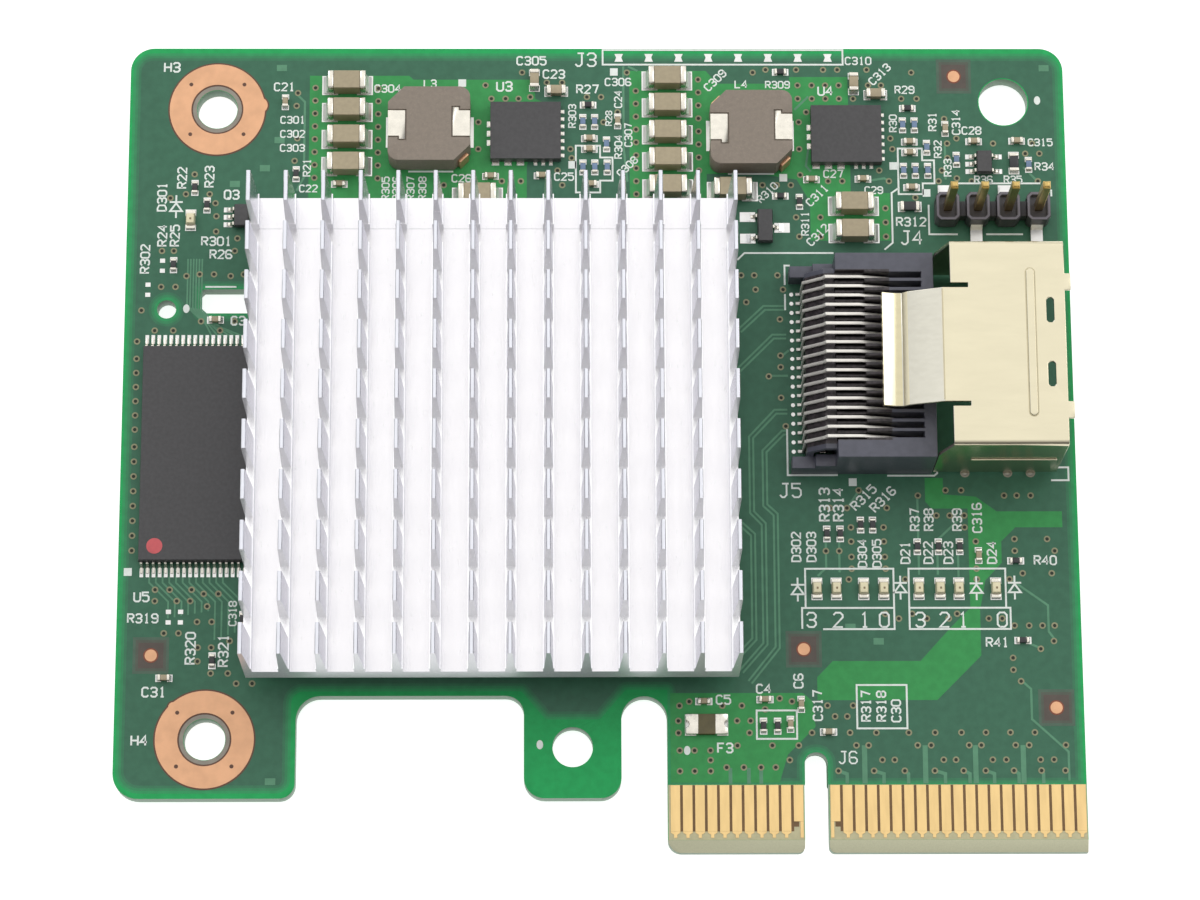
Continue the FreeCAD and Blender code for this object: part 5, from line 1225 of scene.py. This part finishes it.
# Shell legs' places, and their solder above and below the board: pad radius, mound radius and height
LEG_X = (12.75, 16.3, 18.2)
LEG_Y = (31.75, 48.75)
LEG_OUT = 0.1
LEG_UPPER = (0.4, 0.3, 0.12)
LEG_LOWER = (0.95, 0.75, 0.3)
LEG_SIDES = 24


def shell_feet():
    above = Pieces()
    below = Pieces(-1)
    for x in LEG_X:
        for y, outward in zip(LEG_Y, (-1, 1)):
            pad, mound, height = LEG_UPPER
            above.disc(x, y + outward * LEG_OUT, pad, PAD_HEIGHT, sides=LEG_SIDES)
            above.dome(x, y + outward * LEG_OUT, mound, height, PAD_HEIGHT / 2)
            pad, mound, height = LEG_LOWER
            below.disc(x, y, pad, PAD_HEIGHT, sides=LEG_SIDES)
            below.dome(x, y, mound, height)
    above.build("shell_leg_solder_upper", "darker_solder", "tin_plating")
    below.build("shell_leg_solder_lower", "solder", "tin_plating")


# Header's blocks: half sizes, corner cut, and the width, rise and depth of their rims of painted highlight
HEADER_BLOCK = (0.86, 1.11)
HEADER_CORNER = 0.3
RIM_WIDTH = 0.18
RIM_RISE = 0.012
RIM_DEPTH = 0.05


def header_rims():
    """Pale rims on the header's four blocks, a painted highlight on their edges."""
    low, high = node_box("header_insulator")
    rims = Pieces()
    u, v = HEADER_BLOCK
    cut = HEADER_CORNER
    half = [(u, v - cut), (u - cut, v), (cut - u, v), (-u, v - cut)]
    outline = half + [(-a, -b) for a, b in half]
    top = high.z - TOP
    y = (low.y + high.y) / 2
    for centre, _ in solids_of("header_pins"):
        path = [(centre.x + a, y + b) for a, b in outline]
        rims.strip(path, RIM_WIDTH, top + RIM_RISE, top - RIM_DEPTH, closed=True)
    rims.build("header_rims", "header_rim_highlight", "port_plastic")


def underside():
    copper_plane(-1, "lower")
    vias(-1, "_lower")
    tracks = Pieces(-1)
    side_by_side(tracks, LOWER_FANS)
    for path in PAIRS:
        tracks.strip(path, TRACK_WIDTH, PAIR_HEIGHT)
    tracks.build("tracks_lower", "trace", "board_laminate")


# Mounting rings: radii, border, heights, vias, and each ring's teardrop by its angle, reach and radius
RING_INNER = 2.2
RING_OUTER = 4.03
RING_BORDER = 0.13
RING_OVERLAP = 0.05
RING_HEIGHT = 0.05
FACE_STEP = 0.004
BORDER_HEIGHT = 0.020
DROP_BORDER_HEIGHT = 0.017
HOLE_RIM_INNER = 1.73
HOLE_RIM_HEIGHT = 0.014
RING_VIA_OUT = (2.25, 2.22)
RING_VIA_RADIUS = 0.17
RING_SIDES = 96
RIM_SIDES = 64
TEARDROPS = {"far": (6.0, 3.55, 0.72), "near": (134.0, 3.72, 0.42)}


def ring_details():
    """Copper rings with a teardrop, a dark border, bare rims and stitching vias."""
    middle = (BOARD_LOW.y + BOARD_HIGH.y) / 2
    copper = Pieces()
    inner_edge = RING_INNER - RING_BORDER
    for face, label in FACES:
        holes = Pieces(face)
        bare = Pieces(face)
        border = Pieces(face)
        copper.face = face
        for centre, _ in solids_of("mounting_rings"):
            if (centre.z > TOP / 2) != (face > 0):
                continue
            x, y = centre.x, centre.y
            angle, reach, radius = TEARDROPS["far" if y > middle else "near"]
            drop_x = x + reach * math.cos(math.radians(angle))
            drop_y = y + reach * math.sin(math.radians(angle))
            copper.ring(x, y, RING_INNER, RING_OUTER, RING_HEIGHT, RING_SIDES)
            copper.disc(drop_x, drop_y, radius, RING_HEIGHT - FACE_STEP, sides=MANY_SIDES)
            border.ring(x, y, RING_OUTER - RING_OVERLAP, RING_OUTER + RING_BORDER, BORDER_HEIGHT, RING_SIDES)
            border.ring(x, y, inner_edge, RING_INNER + RING_OVERLAP, BORDER_HEIGHT, RIM_SIDES)
            border.disc(drop_x, drop_y, radius + RING_BORDER, DROP_BORDER_HEIGHT, sides=MANY_SIDES)
            bare.ring(x, y, HOLE_RIM_INNER, inner_edge, HOLE_RIM_HEIGHT, RIM_SIDES)
            for u, v in oblong(x, y, 2 * RING_VIA_OUT[0], 2 * RING_VIA_OUT[1]):
                holes.disc(u, v, RING_VIA_RADIUS, RING_HEIGHT + FACE_STEP)
        holes.build("ring_vias_" + label, "ring_outline", "bare_copper")
        bare.build("hole_rims_" + label, "bare_rim", "board_laminate")
        border.build("ring_borders_" + label, "ring_outline", "board_laminate")
    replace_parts(copper.build("mounting_rings_dressed", "copper", "bare_copper"), "mounting_rings")


def paired(values):
    """Start and end of each span in a row of spans."""
    ordered = sorted({round(value / MM, 2) for value in values})
    return list(zip(ordered[::2], ordered[1::2]))


def heatsink_details():
    """Pins with rounded tips on low ridges, over the heatsink's base."""
    low, high = node_box("heatsink")
    corners = [vertex.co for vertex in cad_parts["heatsink"].data.vertices]
    floor = sorted({round(corner.z / MM, 2) for corner in corners})[-2]
    tips = [corner for corner in corners if corner.z / MM > high.z - END_GAP]
    columns = paired(corner.x for corner in tips)
    rows = paired(corner.y for corner in tips)
    rows[0] = (low.y, rows[0][1])
    rows[-1] = (rows[-1][0], high.y)
    metal = Pieces()

    def along(section, start, end):
        metal.loft([[(x, y, z) for x, z in section] for y in (start, end)])

    cut_start, cut_end = rows[-2][1], rows[-1][0]
    groove = floor - GROOVE_DEPTH
    side = [(low.y, low.z), (high.y, low.z), (high.y, floor), (cut_end, floor), (cut_end, groove),
            (cut_start, groove), (cut_start, floor), (low.y, floor)]
    metal.loft([[(x, y, z) for y, z in side] for x in (low.x, high.x)])
    sunk = floor - END_GAP
    ridge_top = floor + RIDGE_HEIGHT
    tip_z = high.z - TIP_ROUND
    inset = TIP_TRIM + TIP_ROUND
    for number, (left, right) in enumerate(columns):
        foot_left = left - FOOT_FLARE * (number > 0)
        foot_right = right + FOOT_FLARE * (number < len(columns) - 1)
        tip_left = arc(left + inset, tip_z, TIP_ROUND, 180, 90, TIP_STEPS)
        tip_right = arc(right - inset, tip_z, TIP_ROUND, 90, 0, TIP_STEPS)
        pin = [(foot_left, sunk)] + tip_left + tip_right + [(foot_right, sunk)]
        for start, end in rows:
            along(pin, start + PIN_TRIM * (start > low.y), end - PIN_TRIM * (end < high.y))
        edge_left = max(low.x + END_GAP, foot_left - RIDGE_MARGIN)
        edge_right = min(high.x - END_GAP, foot_right + RIDGE_MARGIN)
        ridge = [(edge_left, sunk), (edge_left, ridge_top), (edge_right, ridge_top), (edge_right, sunk)]
        along(ridge, rows[0][0] + END_GAP, cut_start - END_GAP)
        along(ridge, cut_end + END_GAP, rows[-1][1] - END_GAP)
    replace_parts(metal.build("heatsink_dressed", "aluminium", "heatsink_metal"), "heatsink")


# Raised bead across the shell's roof: its middle, size and the line round its foot; then the tongue's root
BEAD_MIDDLE = (17.5, 40.25)
BEAD_SIZE = (0.65, 12.4)
BEAD_LINE = 0.1
BEAD_RISE = 0.1
TONGUE_ROOT = [(10.3, 35.4), (10.3, 44.75)]


def shell_bead():
    """Shaded lines round the foot of the shell's bead and along the bend at its tongue's root."""
    u, v = (length / 2 + BEAD_LINE / 2 for length in BEAD_SIZE)
    outline = rounded([(x, y, u) for x, y in oblong(*BEAD_MIDDLE, 2 * u, 2 * v)])
    line = Pieces()
    level = node_box("port_shell")[1].z - TOP - BEAD_RISE
    line.strip(outline, BEAD_LINE, level, level - BEAD_LINE, closed=True)
    line.strip(TONGUE_ROOT, BEAD_LINE, level, level - BEAD_LINE)
    line.build("shell_bead_line", "shell_line", "shell_plating")


# Lamp dies: shift from the lens's middle, size, rise and depth
DIE_SHIFT = (0.02, -0.05)
DIE_SIZE = (0.16, 0.18)
DIE_RISE = 0.004
DIE_DEPTH = 0.01


def lamp_dies():
    """Tiny die seen through each lamp's lens."""
    dies = Pieces()
    for centre, size in solids_of("indicator_light_lenses"):
        top = centre.z + size.z / 2 - TOP
        x = centre.x + DIE_SHIFT[0]
        y = centre.y + DIE_SHIFT[1]
        dies.rectangle(x, y, *DIE_SIZE, top + DIE_RISE, top - DIE_DEPTH)
    dies.build("lamp_dies", "lamp_die", "light_resin")


# Two daubs of the pin-one dot: place from the chip's corner, radius, rise and sides
DAUBS = ((1.36, 1.25, 0.66, 0.012, 32), (1.2, 1.27, 0.32, 0.02, 24))
DAUB_DEPTH = 0.02


def pin_one_dot():
    low, high = node_box("flash_chip_body")
    top = high.z - TOP
    dot = Pieces()
    for x, y, radius, rise, sides in DAUBS:
        dot.disc(low.x + x, low.y + y, radius, top + rise, top - DAUB_DEPTH, sides)
    dot.build("pin_one_dot", "red_dot", "moulding_compound")


# Floor, lights and sky, in metres and watts
FLOOR_REACH = 2.0
FLOOR_COLOUR = (0.5, 0.5, 0.5)
FLOOR_LOOK = (0.8, 0.0, 0.01, 2.0, 0.0)
FLOOR_GLOW = 0.85
LIGHT_TARGET = (-0.018, 0.034, 0.0)
LIGHT_PLACES = {"left_key": (-0.4, 0.45, 0.35), "right_key": (0.38, 0.2, 0.44)}
LIGHT_SIZE = 0.3
LIGHT_POWER = 0.5
SKY_AXIS = (-0.1, 0.58, 0.81)
SKY_DIM = (0.12, 0.12, 0.125, 1)
SKY_BRIGHT = (1, 1, 1, 1)
SKY_RANGE = (0.0, 0.95)
SKY_STRENGTH = 1.36


def stage():
    mesh = bpy.data.meshes.new("floor")
    corners = raised(oblong(0, 0, 2 * FLOOR_REACH, 2 * FLOOR_REACH), FLOOR_Z * MM)
    mesh.from_pydata(corners, [], [(0, 1, 2, 3)])
    pale = Grain("pale_floor", FLOOR_COLOUR, *FLOOR_LOOK)
    pale.set("Emission Color", (1, 1, 1, 1)).set("Emission Strength", FLOOR_GLOW)
    mesh.materials.append(pale.material)
    floor = placed("floor", mesh)


def lighting():
    world = bpy.data.worlds.new("studio")
    bpy.context.scene.world = world
    world.use_nodes = True
    nodes = world.node_tree.nodes
    links = world.node_tree.links
    background = nodes["Background"]
    direction = nodes.new("ShaderNodeTexCoord")
    towards = nodes.new("ShaderNodeVectorMath")
    towards.operation = "DOT_PRODUCT"
    towards.inputs[1].default_value = SKY_AXIS
    ramp = nodes.new("ShaderNodeValToRGB")
    fill_ramp(ramp, SKY_DIM, SKY_BRIGHT, *SKY_RANGE)
    links.new(direction.outputs["Generated"], towards.inputs[0])
    links.new(towards.outputs["Value"], ramp.inputs["Fac"])
    links.new(ramp.outputs["Color"], background.inputs["Color"])
    background.inputs["Strength"].default_value = SKY_STRENGTH
    for name, place in LIGHT_PLACES.items():
        light = bpy.data.lights.new(name, "AREA")
        light.shape = "DISK"
        light.size = LIGHT_SIZE
        light.energy = LIGHT_POWER
        lamp = placed(name, light)
        lamp.location = place
        lamp.rotation_euler = (Vector(LIGHT_TARGET) - Vector(place)).to_track_quat("-Z", "Y").to_euler()


def camera():
    view = bpy.data.cameras.new("camera")
    view.sensor_width = SENSOR_WIDTH
    view.lens = FOCAL_PIXELS / PICTURE_WIDTH * SENSOR_WIDTH
    view.clip_start, view.clip_end = CLIP_RANGE
    eye = placed("camera", view)
    eye.location = [value * MM for value in CAMERA_PLACE]
    eye.rotation_euler = [math.radians(angle) for angle in CAMERA_ANGLES]
    bpy.context.scene.camera = eye


dress_nodes()
board_artwork()
printed_ink()
joint_pads = Pieces()
joint_solder = Pieces()
small_chips(joint_pads, joint_solder)
large_chips(joint_pads, joint_solder)
lead_joints(joint_pads, joint_solder)
bare_pads(joint_pads)
shell_feet()
header_rims()
joint_pads.build("solder_pads", "solder", "tin_plating")
joint_solder.build("solder_joints", "solder", "tin_plating")
contact_stubs()
ring_details()
heatsink_details()
shell_bead()
lamp_dies()
pin_one_dot()
underside()
stage()
lighting()
camera()
bpy.context.scene.view_settings.view_transform = "Standard"
